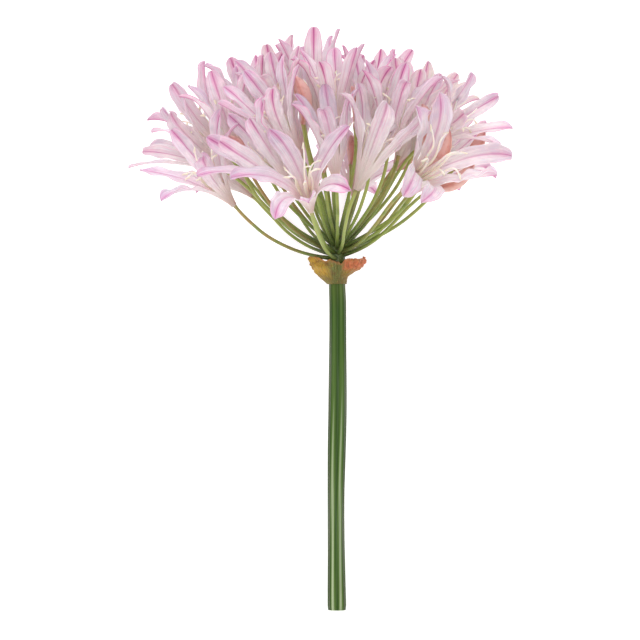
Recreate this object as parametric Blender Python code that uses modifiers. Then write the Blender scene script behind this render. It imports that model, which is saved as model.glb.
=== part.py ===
"""Agapanthus flower head on its cut scape, lying on a surface as it was put down.

Plant frame, before the head is laid down: X to the right of the head's face, Y along the scape towards
the head, Z out of its face. The origin is in the dome that the pedicels spread from. An empty then tilts the
whole plant until the cut end and the florets underneath rest on the surface Z = 0. Sizes are in metres.
"""

import math

import bmesh
import bpy
import numpy as np
from mathutils import Matrix, Vector

MM = 0.001
SEED = 11

# How the head lies: its scape rises this much from the cut end
LYING_TILT = math.radians(23.5)

# The scape, a solid stalk with shallow ribs, cut square
SCAPE_FOOT = -176.0 * MM
SCAPE_TOP = -5.5 * MM
SCAPE_RADIUS = 4.25 * MM
SCAPE_NECK = -13.5 * MM
SCAPE_SHOULDER = -21.0 * MM
SCAPE_NECK_RADIUS = 3.9 * MM
SCAPE_RIBS = 8
SCAPE_RIB_DEPTH = 0.16 * MM
SCAPE_SIDES = 16
SCAPE_SPANS = 6
SCAPE_SWAY = 0.45 * MM

# The spathe, two papery bracts grown together in a sheath round the neck
SPATHE_THICKNESS = 0.6 * MM
SPATHE_ROOT_RADIUS = 4.75 * MM
SPATHE_FOOT = -13.0 * MM
SPATHE_RIM_LEFT = 1.2 * MM
SPATHE_RIM_RIGHT = 0.6 * MM
SPATHE_RIM_BETWEEN = -2.6 * MM
SPATHE_FLARE_LEFT = 9.0 * MM
SPATHE_FLARE_RIGHT = 9.5 * MM
SPATHE_FLARE_BETWEEN = 1.2 * MM
SPATHE_RUFFLE = 0.35 * MM
SPATHE_RUFFLES = 7
SPATHE_SIDES = 22
SPATHE_ROWS = (0.0, 0.45, 0.75, 1.0)

# The receptacle, the dome that the pedicels grow from
DOME_RADIUS = 4.1 * MM
DOME_HEIGHT = 16.0 * MM
SEAT_GAP = 0.3 * MM

# The pedicels, one for each floret and bud
PEDICEL_RADIUS = 1.15 * MM
PEDICEL_SPANS = 4
PEDICEL_ROOT_LOW = -0.4 * MM
PEDICEL_ROOT_HIGH = 9.0 * MM
PEDICEL_ROOT_TIERS = 1.0 * MM
PEDICEL_LOW_RISE = 0.42
PEDICEL_ARCH = math.radians(28.0)
PEDICEL_LEAST_RISE = math.radians(4.0)
PEDICEL_NEAR = 0.44
PEDICEL_FAR = 0.33
PEDICEL_CLOSER = 1.3
ROUND_SIX = 1
ROUND_EIGHT = 2

# A floret: a funnel that parts into six lobes, with six stamens and a style in its mouth
TUBE_LENGTH = 13.0 * MM
THROAT_RADIUS = 5.4 * MM
TUBE_OUTSIDE = ((-0.3 * MM, 1.1 * MM), (3.0 * MM, 1.6 * MM), (TUBE_LENGTH, THROAT_RADIUS))
TUBE_INSIDE = ((6.0 * MM, 2.3 * MM), (9.5 * MM, 3.7 * MM), (TUBE_LENGTH, THROAT_RADIUS))
LOBE_LENGTH = 33.0 * MM
LOBE_HALF_WIDTH = 4.0 * MM
LOBE_THICKNESS = 0.7 * MM
LOBE_CUP = 0.9 * MM
LOBE_ROWS = (0.4, 0.8)
LOBE_SLOPE = math.radians(22.0)
LOBE_FLARE = math.radians(52.0)
STAMEN_LENGTH = 27.0 * MM
STAMEN_RADIUS = 0.55 * MM
STAMEN_SHARE = 0.75
STAMEN_SPREAD = 3.2 * MM
STYLE_SHARE = 0.85

# A bud: a floret that hasn't opened
BUD_LENGTH = 23.0 * MM
BUD_RADIUS = 3.4 * MM
BUD_BOW = 3.0 * MM
BUD_LINE = 12
BUD_STATIONS = ((0, 0.36), (2, 0.74), (6, 1.0), (10, 0.72), (12, 0.26))

# Open florets that show from the front: foot across, up and out (mm), heading in the picture and lean out
# of it (degrees), how far they open, size, turn of the first lobe round the tube (degrees)
FRONT_FLORETS = (
    ("left_low", -50, 26, 24, 130, 28, 1.15, 1.04, 30),
    ("left_high", -55, 43, -5, 148, 0, 0.80, 1.02, 24),
    ("left_top", -52, 50, -28, 131, -8, 0.85, 1.00, 10),
    ("upper_left_outer", -48, 48, 16, 106, 6, 0.65, 1.02, 35),
    ("upper_left_inner", -38, 56, -14, 98, -3, 0.55, 1.04, 50),
    ("middle_left", -22, 34, 47, 136, 15, 0.85, 1.10, 20),
    ("front", -13, 22, 56, 104, 50, 1.40, 1.08, 53),
    ("front_side", 10, 35, 48, 66, 6, 0.85, 1.12, 6),
    ("right_front", 32, 32, 44, 40, 42, 1.30, 1.22, 10),
    ("right_high", 43, 56, 8, 34, 28, 0.95, 0.98, 18),
    ("right_back", 39, 42, -32, 32, -22, 0.80, 0.92, 40),
    ("upper_right_outer", 37, 52, -8, 68, 0, 0.65, 1.00, 12),
    ("upper_right_inner", 25, 54, 8, 77, 4, 0.60, 1.02, 25),
    ("top_right", 17, 57, 6, 88, 14, 0.80, 1.00, 42),
    ("top_middle", 3, 59, 14, 90, 8, 0.70, 1.00, 15),
    ("top_back", -8, 63, -14, 98, -4, 0.60, 1.10, 33),
    ("top_left", -22, 58, 8, 108, 16, 0.70, 1.00, 5),
    ("top_left_back", -25, 58, -28, 108, -20, 0.75, 0.96, 45),
    ("top_right_back", 18, 57, -30, 76, -22, 0.75, 0.96, 28),
    ("middle_deep", -20, 45, 40, 122, 22, 0.80, 1.02, 22),
    ("middle_high", 0, 37, 44, 95, 14, 0.70, 1.02, 48),
    ("right_middle", 22, 44, 32, 82, 16, 0.80, 1.02, 8),
)

# Rows of open florets behind those: name, height of the row, first place round the scape, step (degrees),
# how many
REAR_ROWS = (
    ("low", 28, 219, 31, 4),
    ("middle", 50, 214, 27, 5),
    ("high", 70, 270, 0, 1),
)
REAR_REACH = 59.0 * MM
REAR_RISE = 5.0 * MM

# Florets that show best, which yield less than their neighbours where petals meet
FIRM = {"front": 0.12, "front_side": 0.5, "right_front": 0.25, "left_low": 0.5, "middle_left": 0.6}

# Single lobes that lean out of their flower's even ring: floret, lobe, and how far the tip goes (mm)
LEANING = (
    ("front", 0, 0, -6, 8),
    ("front", 1, -5, -8, 10),
    ("front", 2, 0, -7, 0),
    ("front", 3, 12, -6, 12),
    ("front", 4, -6, 8, 12),
    ("front", 5, 0, -14, 8),
    ("right_front", 0, 0, -8, 0),
    ("right_front", 1, -6, -8, 10),
    ("right_front", 2, 8, -8, 8),
    ("right_front", 3, 0, -20, 0),
    ("right_front", 4, -14, 4, 6),
    ("right_front", 5, -8, 8, 10),
)

# Buds: foot across, up and out (mm), heading and lean (degrees), size
BUDS = (
    ("upper_left", -21, 71, 12, 100, 45, 1.00),
    ("left_edge", -33, 62, 24, 100, 15, 0.90),
    ("middle", -17, 61, 36, 99, 25, 1.10),
    ("low_middle", -7, 42, 30, 96, 20, 1.00),
    ("left_low", -43, 42, 27, 120, 10, 0.90),
    ("upper", 9, 64, 27, 95, 25, 0.95),
    ("curved", 34, 52, 36, 92, 14, 1.15),
    ("right_middle", 18, 52, 36, 84, 20, 0.95),
    ("right_inner", 43, 42, 32, 62, 10, 1.05),
    ("right_outer", 56, 46, 12, 52, 5, 1.10),
    ("right_low", 47, 34, 22, 30, 4, 1.05),
    ("back_left", -34, 44, -42, 135, -35, 1.00),
    ("back_middle", 6, 50, -48, 90, -45, 1.00),
    ("back_right", 36, 46, -40, 50, -35, 1.00),
)

# The dome above the surface, with the low edge of the scape's cut end on it
TOP_HEIGHT = SCAPE_RADIUS * math.cos(LYING_TILT) - SCAPE_FOOT * math.sin(LYING_TILT)

PEDICEL_GREEN = (0.19, 0.24, 0.05, 1.0)
SCAPE_GREEN = (0.05, 0.13, 0.02, 1.0)
SPATHE_OCHRE = (0.56, 0.29, 0.05, 1.0)
PETAL_PINK = (0.82, 0.62, 0.74, 1.0)
BUD_CORAL = (0.72, 0.32, 0.24, 1.0)

# Petals are bent clear of each other: each is tried as small balls across and along it
CLEAR_ROUNDS = 120
CLEAR_STEPS = 10
CLEAR_RADIUS = 1.7 * MM
CLEAR_EDGE = 0.72
CLEAR_GAIN = 0.55
CLEAR_REFRESH = 7
CLEAR_MARGIN = 4.0 * MM
FOOT_GAIN = 0.12
HEART_REACH = 22.0 * MM
HEART_RADIUS = 6.0 * MM
HEART_PULL = 0.9
LOWEST = 0.6 * MM
SURFACE_PUSH = 1.5
LOBE_SHIFT = 0.25
BOW_GAIN = 0.1
BEND_GAIN = CLEAR_GAIN / 3
APART_FROM = 0.45
FLORET_BALLS = ((2, 2.2), (7, 3.4), (12, 5.9), (20, 4.4), (27, 4.4), (33, 4.0))
BUD_BALLS = (1.6, 2.6, 3.2, 3.5, 3.4, 2.8, 1.6)
STALK_BALL = 1.5 * MM
STALK_STEPS = 24
STALK_FROM = 6
MOST_SHIFT = 9.0 * MM
MOST_BEND = 26.0 * MM


def unit(vectors):
    """The vectors along the last axis, each made one long."""
    return vectors / np.maximum(np.linalg.norm(vectors, axis=-1, keepdims=True), 1e-12)


def pointing(heading, lean):
    """The direction at this heading in the picture plane, leaning out of it by lean, both in degrees."""
    h, e = math.radians(heading), math.radians(lean)
    return np.array([math.cos(e) * math.cos(h), math.cos(e) * math.sin(h), math.sin(e)])


def rear_florets(rng):
    """The florets of the rear rows as rows like those of FRONT_FLORETS."""
    rows = []
    for row, height, first, step, count in REAR_ROWS:
        for place in range(count):
            turn = math.radians(first + step * place + rng.uniform(-5, 5))
            rise = math.radians(height + rng.uniform(-4, 4))
            way = np.array([math.cos(rise) * math.cos(turn), math.sin(rise), math.cos(rise) * math.sin(turn)])
            foot = (way * REAR_REACH + np.array([0, REAR_RISE, 0])) / MM
            heading = math.degrees(math.atan2(way[1] + 0.25, way[0]))
            lean = math.degrees(math.asin(way[2] * 0.95))
            name = f"rear_{row}_{place + 1}"
            opening, size, roll = rng.uniform(0.75, 1.0), rng.uniform(0.95, 1.02), 60 * rng.random()
            rows.append((name, *foot, heading, lean, opening, size, roll))
    return rows


class Layout:
    """Where every floret and bud stands and how its lobes bend, in the plant frame."""

    def __init__(self):
        rng = np.random.default_rng(SEED)
        rows = list(FRONT_FLORETS) + rear_florets(rng)
        self.names = [row[0] for row in rows]
        self.foot = np.array([row[1:4] for row in rows]) * MM
        self.axis = np.array([pointing(row[4], row[5]) for row in rows])
        self.open = np.array([row[6] for row in rows])
        self.yields = np.array([FIRM.get(name, 1.0) for name in self.names])
        self.size = np.array([row[7] for row in rows])
        count = len(rows)
        away = np.tile([0.0, 1.0, 0.0], (count, 1))
        self.side = unit(np.cross(away, self.axis))
        self.rise = np.cross(self.axis, self.side)
        roll = np.radians([row[8] for row in rows])
        self.turn = roll[:, None] + np.arange(6) * math.tau / 6
        inner = np.where(np.arange(6) % 2, -1.0, 1.0) * math.radians(4)
        self.slope = LOBE_SLOPE * self.open[:, None] + np.zeros((count, 6))
        self.flare = LOBE_FLARE * self.open[:, None] + inner + rng.normal(0, math.radians(9), (count, 6))
        self.swing = rng.normal(0, math.radians(7), (count, 6))
        self.length = LOBE_LENGTH * self.size[:, None] * rng.uniform(0.92, 1.08, (count, 6))
        self.twist = rng.normal(0, math.radians(14), (count, 6))
        self.bend = np.zeros((count, 6, 3))
        for name, lobe, *lean in LEANING:
            self.bend[self.names.index(name), lobe] = np.array(lean) * MM
        self.bud_names = [row[0] for row in BUDS]
        self.bud_foot = np.array([row[1:4] for row in BUDS]) * MM
        self.bud_axis = np.array([pointing(row[4], row[5]) for row in BUDS])
        self.bud_size = np.array([row[6] for row in BUDS])
        self.bow = np.zeros((count + len(BUDS), 3))
        cosine, sine = np.cos(self.turn)[..., None], np.sin(self.turn)[..., None]
        self.radial = cosine * self.side[:, None] + sine * self.rise[:, None]

    def throat(self, angle):
        """The point of each floret's throat ring at this angle past each lobe's middle."""
        turn = self.turn + angle
        out = np.cos(turn)[..., None] * self.side[:, None] + np.sin(turn)[..., None] * self.rise[:, None]
        size = self.size[:, None, None]
        return self.foot[:, None] + size * (TUBE_LENGTH * self.axis[:, None] + THROAT_RADIUS * out)

    def lobes(self, spans):
        """Middle lines of all lobes, cut in this many spans, and the directions along and across them."""
        t = (np.arange(spans) + 0.5) / spans
        slope = self.slope[..., None] + (self.flare - self.slope)[..., None] * t
        axis = self.axis[:, None, None]
        radial = self.radial[:, :, None]
        level = np.cross(self.axis[:, None], self.radial)[:, :, None]
        swing = (self.swing[..., None] * t)[..., None]
        ahead = np.cos(slope)[..., None] * axis + np.sin(slope)[..., None] * radial + swing * level
        step = unit(ahead) * (self.length / spans)[..., None, None]
        step = step + 2 * t[:, None] * self.bend[:, :, None] / spans
        step = unit(step) * (self.length / spans)[..., None, None]
        start = self.throat(0.0)[:, :, None]
        line = np.concatenate([start, start + np.cumsum(step, axis=2)], axis=2)
        between = (step[:, :, 1:] + step[:, :, :-1]) / 2
        along = unit(np.concatenate([step[:, :, :1], between, step[:, :, -1:]], axis=2))
        across = unit(level - (level * along).sum(-1, keepdims=True) * along)
        ends = np.linspace(0, 1, spans + 1)
        twist = (self.twist[..., None] * ends**1.5)[..., None]
        across = np.cos(twist) * across + np.sin(twist) * np.cross(along, across)
        return line, along, across

    def pedicel(self, steps):
        """Points along every pedicel, from inside the dome to just short of its floret or bud."""
        foot = np.concatenate([self.foot, self.bud_foot])
        axis = np.concatenate([self.axis, self.bud_axis])
        end = foot - axis * (SEAT_GAP + LOBE_THICKNESS / 2)
        out = foot * np.array([1.0, 0.0, 1.0])
        flat = unit(out)
        rise = np.arctan2(foot[:, 1], np.linalg.norm(out, axis=1))
        share = np.clip(rise - PEDICEL_LOW_RISE, 0, 1)[:, None]
        height = PEDICEL_ROOT_LOW + (PEDICEL_ROOT_HIGH - PEDICEL_ROOT_LOW) * share
        height = height + PEDICEL_ROOT_TIERS * (np.arange(len(foot)) % 3)[:, None]
        up = np.array([0.0, 1.0, 0.0])
        root = flat * DOME_RADIUS * 0.35 * (1 - share) + up * height
        reach = np.linalg.norm(end - root, axis=1, keepdims=True)
        lift = np.maximum(rise - PEDICEL_ARCH * np.cos(rise), PEDICEL_LEAST_RISE)[:, None]
        leave = np.cos(lift) * flat + np.sin(lift) * up
        near = root + leave * reach * PEDICEL_NEAR
        far = end - axis * reach * PEDICEL_FAR
        s = 1 - (1 - np.linspace(0, 1, steps + 1)[None, :, None]) ** PEDICEL_CLOSER
        root, near, far, end = (p[:, None] for p in (root, near, far, end))
        curve = (1 - s) ** 3 * root + 3 * (1 - s) ** 2 * s * near + 3 * (1 - s) * s**2 * far + s**3 * end
        return curve + 16 * (s * (1 - s)) ** 2 * self.bow[:, None]

    def bud_line(self, steps):
        """Points along every bud's bowed middle."""
        s = np.linspace(0, 1, steps + 1)[None, :, None]
        reach = (BUD_LENGTH * self.bud_size)[:, None, None]
        outward = unit(self.bud_axis - np.array([0.0, 1.0, 0.0]) * 0.3)[:, None]
        sag = BUD_BOW * self.bud_size[:, None, None] * np.sin(math.pi * s)
        sag = sag * np.cross(outward, [0.0, 0.0, 1.0])
        return self.bud_foot[:, None] + self.bud_axis[:, None] * reach * s + sag


def lobe_half_width(t):
    """Half a lobe's width at t from its throat to its tip, for a lobe of full size."""
    shoulder = 0.56 + 0.44 * np.sin(np.clip(t / 0.62, 0, 1) * math.pi / 2)
    tip = np.clip(1 - (np.clip(t - 0.62, 0, 1) / 0.385) ** 1.7, 0, 1) ** 0.75
    return LOBE_HALF_WIDTH * shoulder * tip


def balls(layout):
    """The balls that stand for every piece: places, radii, owner, lobe, and how far along it each is."""
    count, buds = len(layout.names), len(layout.bud_names)
    line, _, across = layout.lobes(CLEAR_STEPS)
    t = np.linspace(0, 1, CLEAR_STEPS + 1)[1:]
    width = lobe_half_width(t)[:, None, None] * CLEAR_EDGE * layout.size[:, None, None, None, None]
    width = np.maximum(width, 1.0 * MM)
    over = np.array([-1.0, 0.0, 1.0])[:, None]
    lobe = line[:, :, 1:, None] + across[:, :, 1:, None] * width * over
    shape = lobe.shape[:4]
    owner = np.broadcast_to(np.arange(count)[:, None, None, None], shape).ravel()
    which = np.broadcast_to(np.arange(6)[None, :, None, None], shape).ravel()
    share = np.broadcast_to(t[None, None, :, None], shape).ravel()
    flat = [(lobe.reshape(-1, 3), np.full(len(owner), CLEAR_RADIUS), owner, which, share)]
    for along, radius in FLORET_BALLS:
        place = layout.foot + layout.axis * along * MM * layout.size[:, None]
        same = np.full(count, radius * MM)
        flat.append((place, same, np.arange(count), np.full(count, -1), np.zeros(count)))
    bud = layout.bud_line(len(BUD_BALLS) - 1)
    own = count + np.arange(buds)
    for step, radius in enumerate(BUD_BALLS):
        flat.append((bud[:, step], np.full(buds, radius * MM), own, np.full(buds, -1), np.zeros(buds)))
    stalk = layout.pedicel(STALK_STEPS)[:, STALK_FROM:]
    owner = np.broadcast_to(np.arange(count + buds)[:, None], stalk.shape[:2]).ravel()
    share = 1 - (1 - np.linspace(0, 1, STALK_STEPS + 1)[None, STALK_FROM:]) ** PEDICEL_CLOSER
    share = np.broadcast_to(share, stalk.shape[:2]).ravel()
    size = len(owner)
    flat.append((stalk.reshape(-1, 3), np.full(size, STALK_BALL), owner, np.full(size, -2), share))
    return [np.concatenate([part[i] for part in flat]) for i in range(5)]


def hearts(layout, place, owner, lobe):
    """For each ball the place that its piece should stay near, so that crossed pieces part the right way."""
    middle = np.concatenate([layout.foot + layout.axis * HEART_REACH, layout.bud_line(2)[:, 1]])
    heart = np.where((lobe == -2)[:, None], place, middle[owner])
    petal = lobe >= 0
    heart[petal] += layout.radial[owner[petal], lobe[petal]] * HEART_RADIUS
    return heart


def near_pairs(place, radius, owner, lobe, share):
    """Pairs of balls that lie near each other and may not touch."""
    small = place.astype(np.float32)
    square = (small**2).sum(1)
    apart = square[:, None] + square[None] - 2 * small @ small.T
    reach = (radius[:, None] + radius[None] + CLEAR_MARGIN).astype(np.float32)
    first, second = np.nonzero(np.triu(apart < reach**2, 1))
    same = owner[first] == owner[second]
    own_lobes = same & (lobe[first] >= 0) & (lobe[second] >= 0) & (lobe[first] != lobe[second])
    own_lobes &= (share[first] > APART_FROM) & (share[second] > APART_FROM)
    stalks = (lobe[first] == -2) & (lobe[second] == -2)
    keep = (~same | own_lobes) & ~stalks
    return first[keep], second[keep]


def bend_clear(layout):
    """Shifts feet a little and bends lobes and pedicels until no piece crosses another or the surface."""
    count = len(layout.names)
    up = np.array([0.0, math.sin(LYING_TILT), math.cos(LYING_TILT)])
    start_foot, start_bud = layout.foot.copy(), layout.bud_foot.copy()
    for turn in range(CLEAR_ROUNDS):
        place, radius, owner, lobe, share = balls(layout)
        if turn % CLEAR_REFRESH == 0:
            first, second = near_pairs(place, radius, owner, lobe, share)
        gap = place[first] - place[second]
        apart = np.linalg.norm(gap, axis=1)
        deep = radius[first] + radius[second] - apart
        hit = deep > 0
        heart = hearts(layout, place, owner, lobe)
        away = unit(gap[hit]) + HEART_PULL * unit(heart[first[hit]] - heart[second[hit]])
        push = unit(away) * (deep[hit] / 2)[:, None]
        move = np.zeros_like(place)
        np.add.at(move, first[hit], push)
        np.add.at(move, second[hit], -push)
        under = LOWEST - (place @ up + TOP_HEIGHT) + np.where(lobe >= 0, 0.0, radius)
        move += np.clip(under, 0, None)[:, None] * up * SURFACE_PUSH
        petal = lobe >= 0
        bend = np.zeros_like(layout.bend)
        np.add.at(bend, (owner[petal], lobe[petal]), move[petal] * (share[petal] ** 2)[:, None])
        layout.bend += BEND_GAIN * bend * layout.yields[:, None, None]
        size = np.linalg.norm(layout.bend, axis=-1, keepdims=True)
        layout.bend *= np.minimum(1, MOST_BEND / np.maximum(size, 1e-9))
        rigid = lobe != -2
        shift = np.zeros((count + len(layout.bud_names), 3))
        weight = np.where(petal, (1 - share) * LOBE_SHIFT, 1.0)
        np.add.at(shift, owner[rigid], move[rigid] * weight[rigid, None])
        shift[:count] *= layout.yields[:, None]
        shift *= FOOT_GAIN
        layout.foot = start_foot + limited(layout.foot - start_foot + shift[:count], MOST_SHIFT)
        layout.bud_foot = start_bud + limited(layout.bud_foot - start_bud + shift[count:], MOST_SHIFT)
        stalk = lobe == -2
        bow = np.zeros_like(layout.bow)
        weight = 16 * (share * (1 - share)) ** 2
        np.add.at(bow, owner[stalk], move[stalk] * weight[stalk, None])
        layout.bow = limited(layout.bow + BOW_GAIN * bow, MOST_SHIFT)
    return layout


def limited(vectors, most):
    """The vectors, each cut to this length."""
    size = np.linalg.norm(vectors, axis=-1, keepdims=True)
    return vectors * np.minimum(1, most / np.maximum(size, 1e-12))


# Modelling starts here
def fresh_material(name, colour, roughness):
    """A plain material of this colour."""
    material = bpy.data.materials.new(name)
    material.use_nodes = True
    shader = material.node_tree.nodes["Principled BSDF"]
    shader.inputs["Base Color"].default_value = colour
    shader.inputs["Roughness"].default_value = roughness
    shader.inputs["Metallic"].default_value = 0.0
    material.diffuse_color = colour
    return material


def add_object(name, mesh, collection, material=None):
    """An object with this mesh in this collection."""
    made = bpy.data.objects.new(name, mesh)
    collection.objects.link(made)
    if material:
        mesh.materials.clear()
        mesh.materials.append(material)
    return made


def loft(name, rings, collection, material=None):
    """A solid through these rings of points, closed at both ends, with its faces pointing out."""
    mesh = bmesh.new()
    rows = [[mesh.verts.new(Vector(p)) for p in ring] for ring in rings]
    sides = len(rows[0])
    for low, high in zip(rows, rows[1:]):
        for k in range(sides):
            mesh.faces.new((low[k], low[(k + 1) % sides], high[(k + 1) % sides], high[k]))
    mesh.faces.new(rows[0][::-1])
    mesh.faces.new(rows[-1])
    bmesh.ops.recalc_face_normals(mesh, faces=mesh.faces)
    bmesh.ops.triangulate(mesh, faces=mesh.faces)
    data = bpy.data.meshes.new(name)
    mesh.to_mesh(data)
    mesh.free()
    return add_object(name, data, collection, material)


def stalk_along(name, points, radii, roundness, collection, material=None):
    """A solid round stalk along these points: a curve with a bevel and filled ends, made a mesh."""
    curve = bpy.data.curves.new(name, "CURVE")
    curve.dimensions = "3D"
    curve.bevel_depth = max(radii)
    curve.bevel_resolution = roundness
    curve.use_fill_caps = True
    spline = curve.splines.new("POLY")
    spline.points.add(len(points) - 1)
    for place, point, radius in zip(spline.points, points, radii):
        place.co = (*point, 1.0)
        place.radius = radius / curve.bevel_depth
    drawn = add_object(name, curve, collection)
    bpy.context.view_layer.update()
    mesh = bpy.data.meshes.new_from_object(drawn.evaluated_get(bpy.context.evaluated_depsgraph_get()))
    bpy.data.objects.remove(drawn)
    solid = bmesh.new()
    solid.from_mesh(mesh)
    bmesh.ops.remove_doubles(solid, verts=solid.verts, dist=0.01 * MM)
    bmesh.ops.triangulate(solid, faces=solid.faces)
    solid.to_mesh(mesh)
    solid.free()
    mesh.name = name
    return add_object(name, mesh, collection, material)


def fused(base, others, name, collection):
    """Base and the other objects as one solid, by one Boolean union."""
    parts = bpy.data.collections.new(name + "_parts")
    for other in others:
        for held in other.users_collection:
            held.objects.unlink(other)
        parts.objects.link(other)
    bpy.context.scene.collection.children.link(parts)
    union = base.modifiers.new("union", "BOOLEAN")
    union.operation = "UNION"
    union.operand_type = "COLLECTION"
    union.collection = parts
    union.solver = "EXACT"
    bpy.context.view_layer.update()
    mesh = bpy.data.meshes.new_from_object(base.evaluated_get(bpy.context.evaluated_depsgraph_get()))
    mesh.name = name
    material = base.data.materials[0]
    for other in [base, *others]:
        bpy.data.objects.remove(other)
    bpy.data.collections.remove(parts)
    return add_object(name, mesh, collection, material)


def strip_rows(layout, index, side):
    """Rows of three points up the tube and each lobe, on a floret's outer side (1) or inner side (-1)."""
    size, half = layout.size[index], side * LOBE_THICKNESS / 2
    line, along, across = (part[index] for part in layout.lobes(CLEAR_STEPS))
    turn = layout.turn[index][:, None] + np.array([-math.pi / 6, 0.0, math.pi / 6])
    out = np.cos(turn)[..., None] * layout.side[index] + np.sin(turn)[..., None] * layout.rise[index]
    rings = TUBE_OUTSIDE if side > 0 else TUBE_INSIDE
    rows = []
    for reach, radius in rings:
        rows.append(layout.foot[index] + size * reach * layout.axis[index] + (size * radius + half) * out)
    for t in LOBE_ROWS:
        k = round(t * CLEAR_STEPS)
        inward = np.cross(along[:, k], across[:, k])[:, None]
        spread = np.array([-1.0, 0.0, 1.0])[:, None] * lobe_half_width(t) * size
        cup = LOBE_CUP * size * np.array([1.0, 0.0, 1.0])[:, None]
        rows.append(line[:, k, None] + spread * across[:, k, None] + (cup - half) * inward)
    tips = line[:, -1] - half * np.cross(along[:, -1], across[:, -1])
    return rows, tips


def skin(mesh, rows, tips, flip):
    """Faces over the strips of a floret's one side; gives back each strip's grid of corners and its tip."""
    grids = []
    for lobe in range(6):
        grid = [[mesh.verts.new(Vector(p)) for p in row[lobe]] for row in rows]
        tip = mesh.verts.new(Vector(tips[lobe]))
        faces = [(grid[-1][c], grid[-1][c + 1], tip) for c in range(2)]
        for low, high in zip(grid, grid[1:]):
            faces += [(low[c], low[c + 1], high[c + 1], high[c]) for c in range(2)]
        for corners in faces:
            mesh.faces.new(corners[::-1] if flip else corners)
        grids.append((grid, tip))
    return grids


def pulled(mesh, face, centre, radius):
    """Pulls a face out to a new place, where its corners stand this far round the centre."""
    face = bmesh.ops.extrude_discrete_faces(mesh, faces=[face])["faces"][0]
    middle = face.calc_center_median()
    for vert in face.verts:
        vert.co = centre + (vert.co - middle).normalized() * radius


def build_floret(layout, index, collection, material):
    """An open floret: one skin over its tube and lobes, with the stamens and the style pulled out inside."""
    name = "floret_" + layout.names[index]
    foot, axis = Vector(layout.foot[index]), Vector(layout.axis[index])
    size = float(layout.size[index])
    mesh = bmesh.new()
    outside = skin(mesh, *strip_rows(layout, index, 1), flip=False)
    inside = skin(mesh, *strip_rows(layout, index, -1), flip=True)
    first = len(TUBE_OUTSIDE) - 1
    for (outer, outer_tip), (inner, inner_tip) in zip(outside, inside):
        for column in (0, 2):
            low = [row[column] for row in outer[first:]] + [outer_tip]
            high = [row[column] for row in inner[len(TUBE_INSIDE) - 1 :]] + [inner_tip]
            for k in range(len(low) - 1):
                corners = (low[k], low[k + 1], high[k + 1], high[k])
                mesh.faces.new(corners if column else corners[::-1])
    stamen_faces = [inner[1][0].link_faces for inner, _ in inside]
    picked = []
    for (inner, _), faces in zip(inside, stamen_faces):
        picked.append(next(face for face in faces if inner[2][1] in face.verts))
    for lobe, face in enumerate(picked):
        turn = layout.turn[index][lobe] - math.pi / 12
        out = Vector(math.cos(turn) * layout.side[index] + math.sin(turn) * layout.rise[index])
        tip = foot + size * (axis * (TUBE_LENGTH + STAMEN_LENGTH * STAMEN_SHARE) + out * STAMEN_SPREAD)
        pulled(mesh, face, tip, STAMEN_RADIUS * size)
    bmesh.ops.remove_doubles(mesh, verts=mesh.verts, dist=0.01 * MM)
    for ends in ("foot", "floor"):
        edges = [edge for edge in mesh.edges if edge.is_boundary]
        edges = [e for e in edges if ((e.verts[0].co - foot).dot(axis) < 1.0 * MM) == (ends == "foot")]
        face = bmesh.ops.contextual_create(mesh, geom=edges)["faces"][0]
        if ends == "floor":
            style = foot + size * axis * (TUBE_LENGTH + STAMEN_LENGTH * STYLE_SHARE)
            pulled(mesh, face, style, STAMEN_RADIUS * size)
    bmesh.ops.recalc_face_normals(mesh, faces=mesh.faces)
    bmesh.ops.triangulate(mesh, faces=mesh.faces)
    data = bpy.data.meshes.new(name)
    mesh.to_mesh(data)
    mesh.free()
    return add_object(name, data, collection, material)


def build_bud(layout, index, collection, material):
    """A closed bud: a bowed spindle, slim at its foot and blunt at its tip."""
    size = layout.bud_size[index]
    stations = [step for step, _ in BUD_STATIONS]
    line = layout.bud_line(BUD_LINE)[index][stations]
    seat, ahead = layout.bud_foot[index], layout.bud_axis[index]
    line[0] -= ahead * SEAT_GAP
    line[1] = (line[1] + seat + ahead * BUD_LENGTH * size * stations[1] / BUD_LINE) / 2
    radii = [BUD_RADIUS * size * share for _, share in BUD_STATIONS]
    name = "bud_" + layout.bud_names[index]
    return stalk_along(name, line, radii, ROUND_EIGHT, collection, material)


def build_pedicels(layout, collection, material):
    """All pedicels, fused with the dome that they grow from."""
    dome = bmesh.new()
    bmesh.ops.create_uvsphere(dome, u_segments=12, v_segments=6, radius=1.0)
    for vert in dome.verts:
        x, z, y = vert.co
        height = SCAPE_TOP + SEAT_GAP + (y + 1) / 2 * DOME_HEIGHT
        fuller = DOME_RADIUS * (1 + y * y) ** 0.5
        vert.co = (x * fuller, height, -z * fuller)
    data = bpy.data.meshes.new("pedicels")
    dome.to_mesh(data)
    dome.free()
    base = add_object("dome", data, collection, material)
    stalks = []
    for line in layout.pedicel(PEDICEL_SPANS):
        stalks.append(stalk_along("stalk", line, [PEDICEL_RADIUS] * len(line), ROUND_SIX, collection))
    return fused(base, stalks, "pedicels", collection)


def build_scape(collection, material):
    """The scape: a slightly swaying stalk with shallow ribs and a square cut."""
    turn = np.arange(SCAPE_SIDES) * math.tau / SCAPE_SIDES
    rib = SCAPE_RIB_DEPTH * np.cos(SCAPE_RIBS * turn)
    rings = []
    for height in (*np.linspace(SCAPE_FOOT, SCAPE_SHOULDER, SCAPE_SPANS), SCAPE_NECK, SCAPE_TOP):
        below = height < SCAPE_NECK
        radius = (SCAPE_RADIUS if below else SCAPE_NECK_RADIUS) + rib
        sway = SCAPE_SWAY * math.sin(height / SCAPE_FOOT * math.tau) if below else 0.0
        level = np.full(SCAPE_SIDES, height)
        rings.append(np.stack([sway + radius * np.cos(turn), level, radius * np.sin(turn)], axis=1))
    return loft("scape", rings, collection, material)


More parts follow.
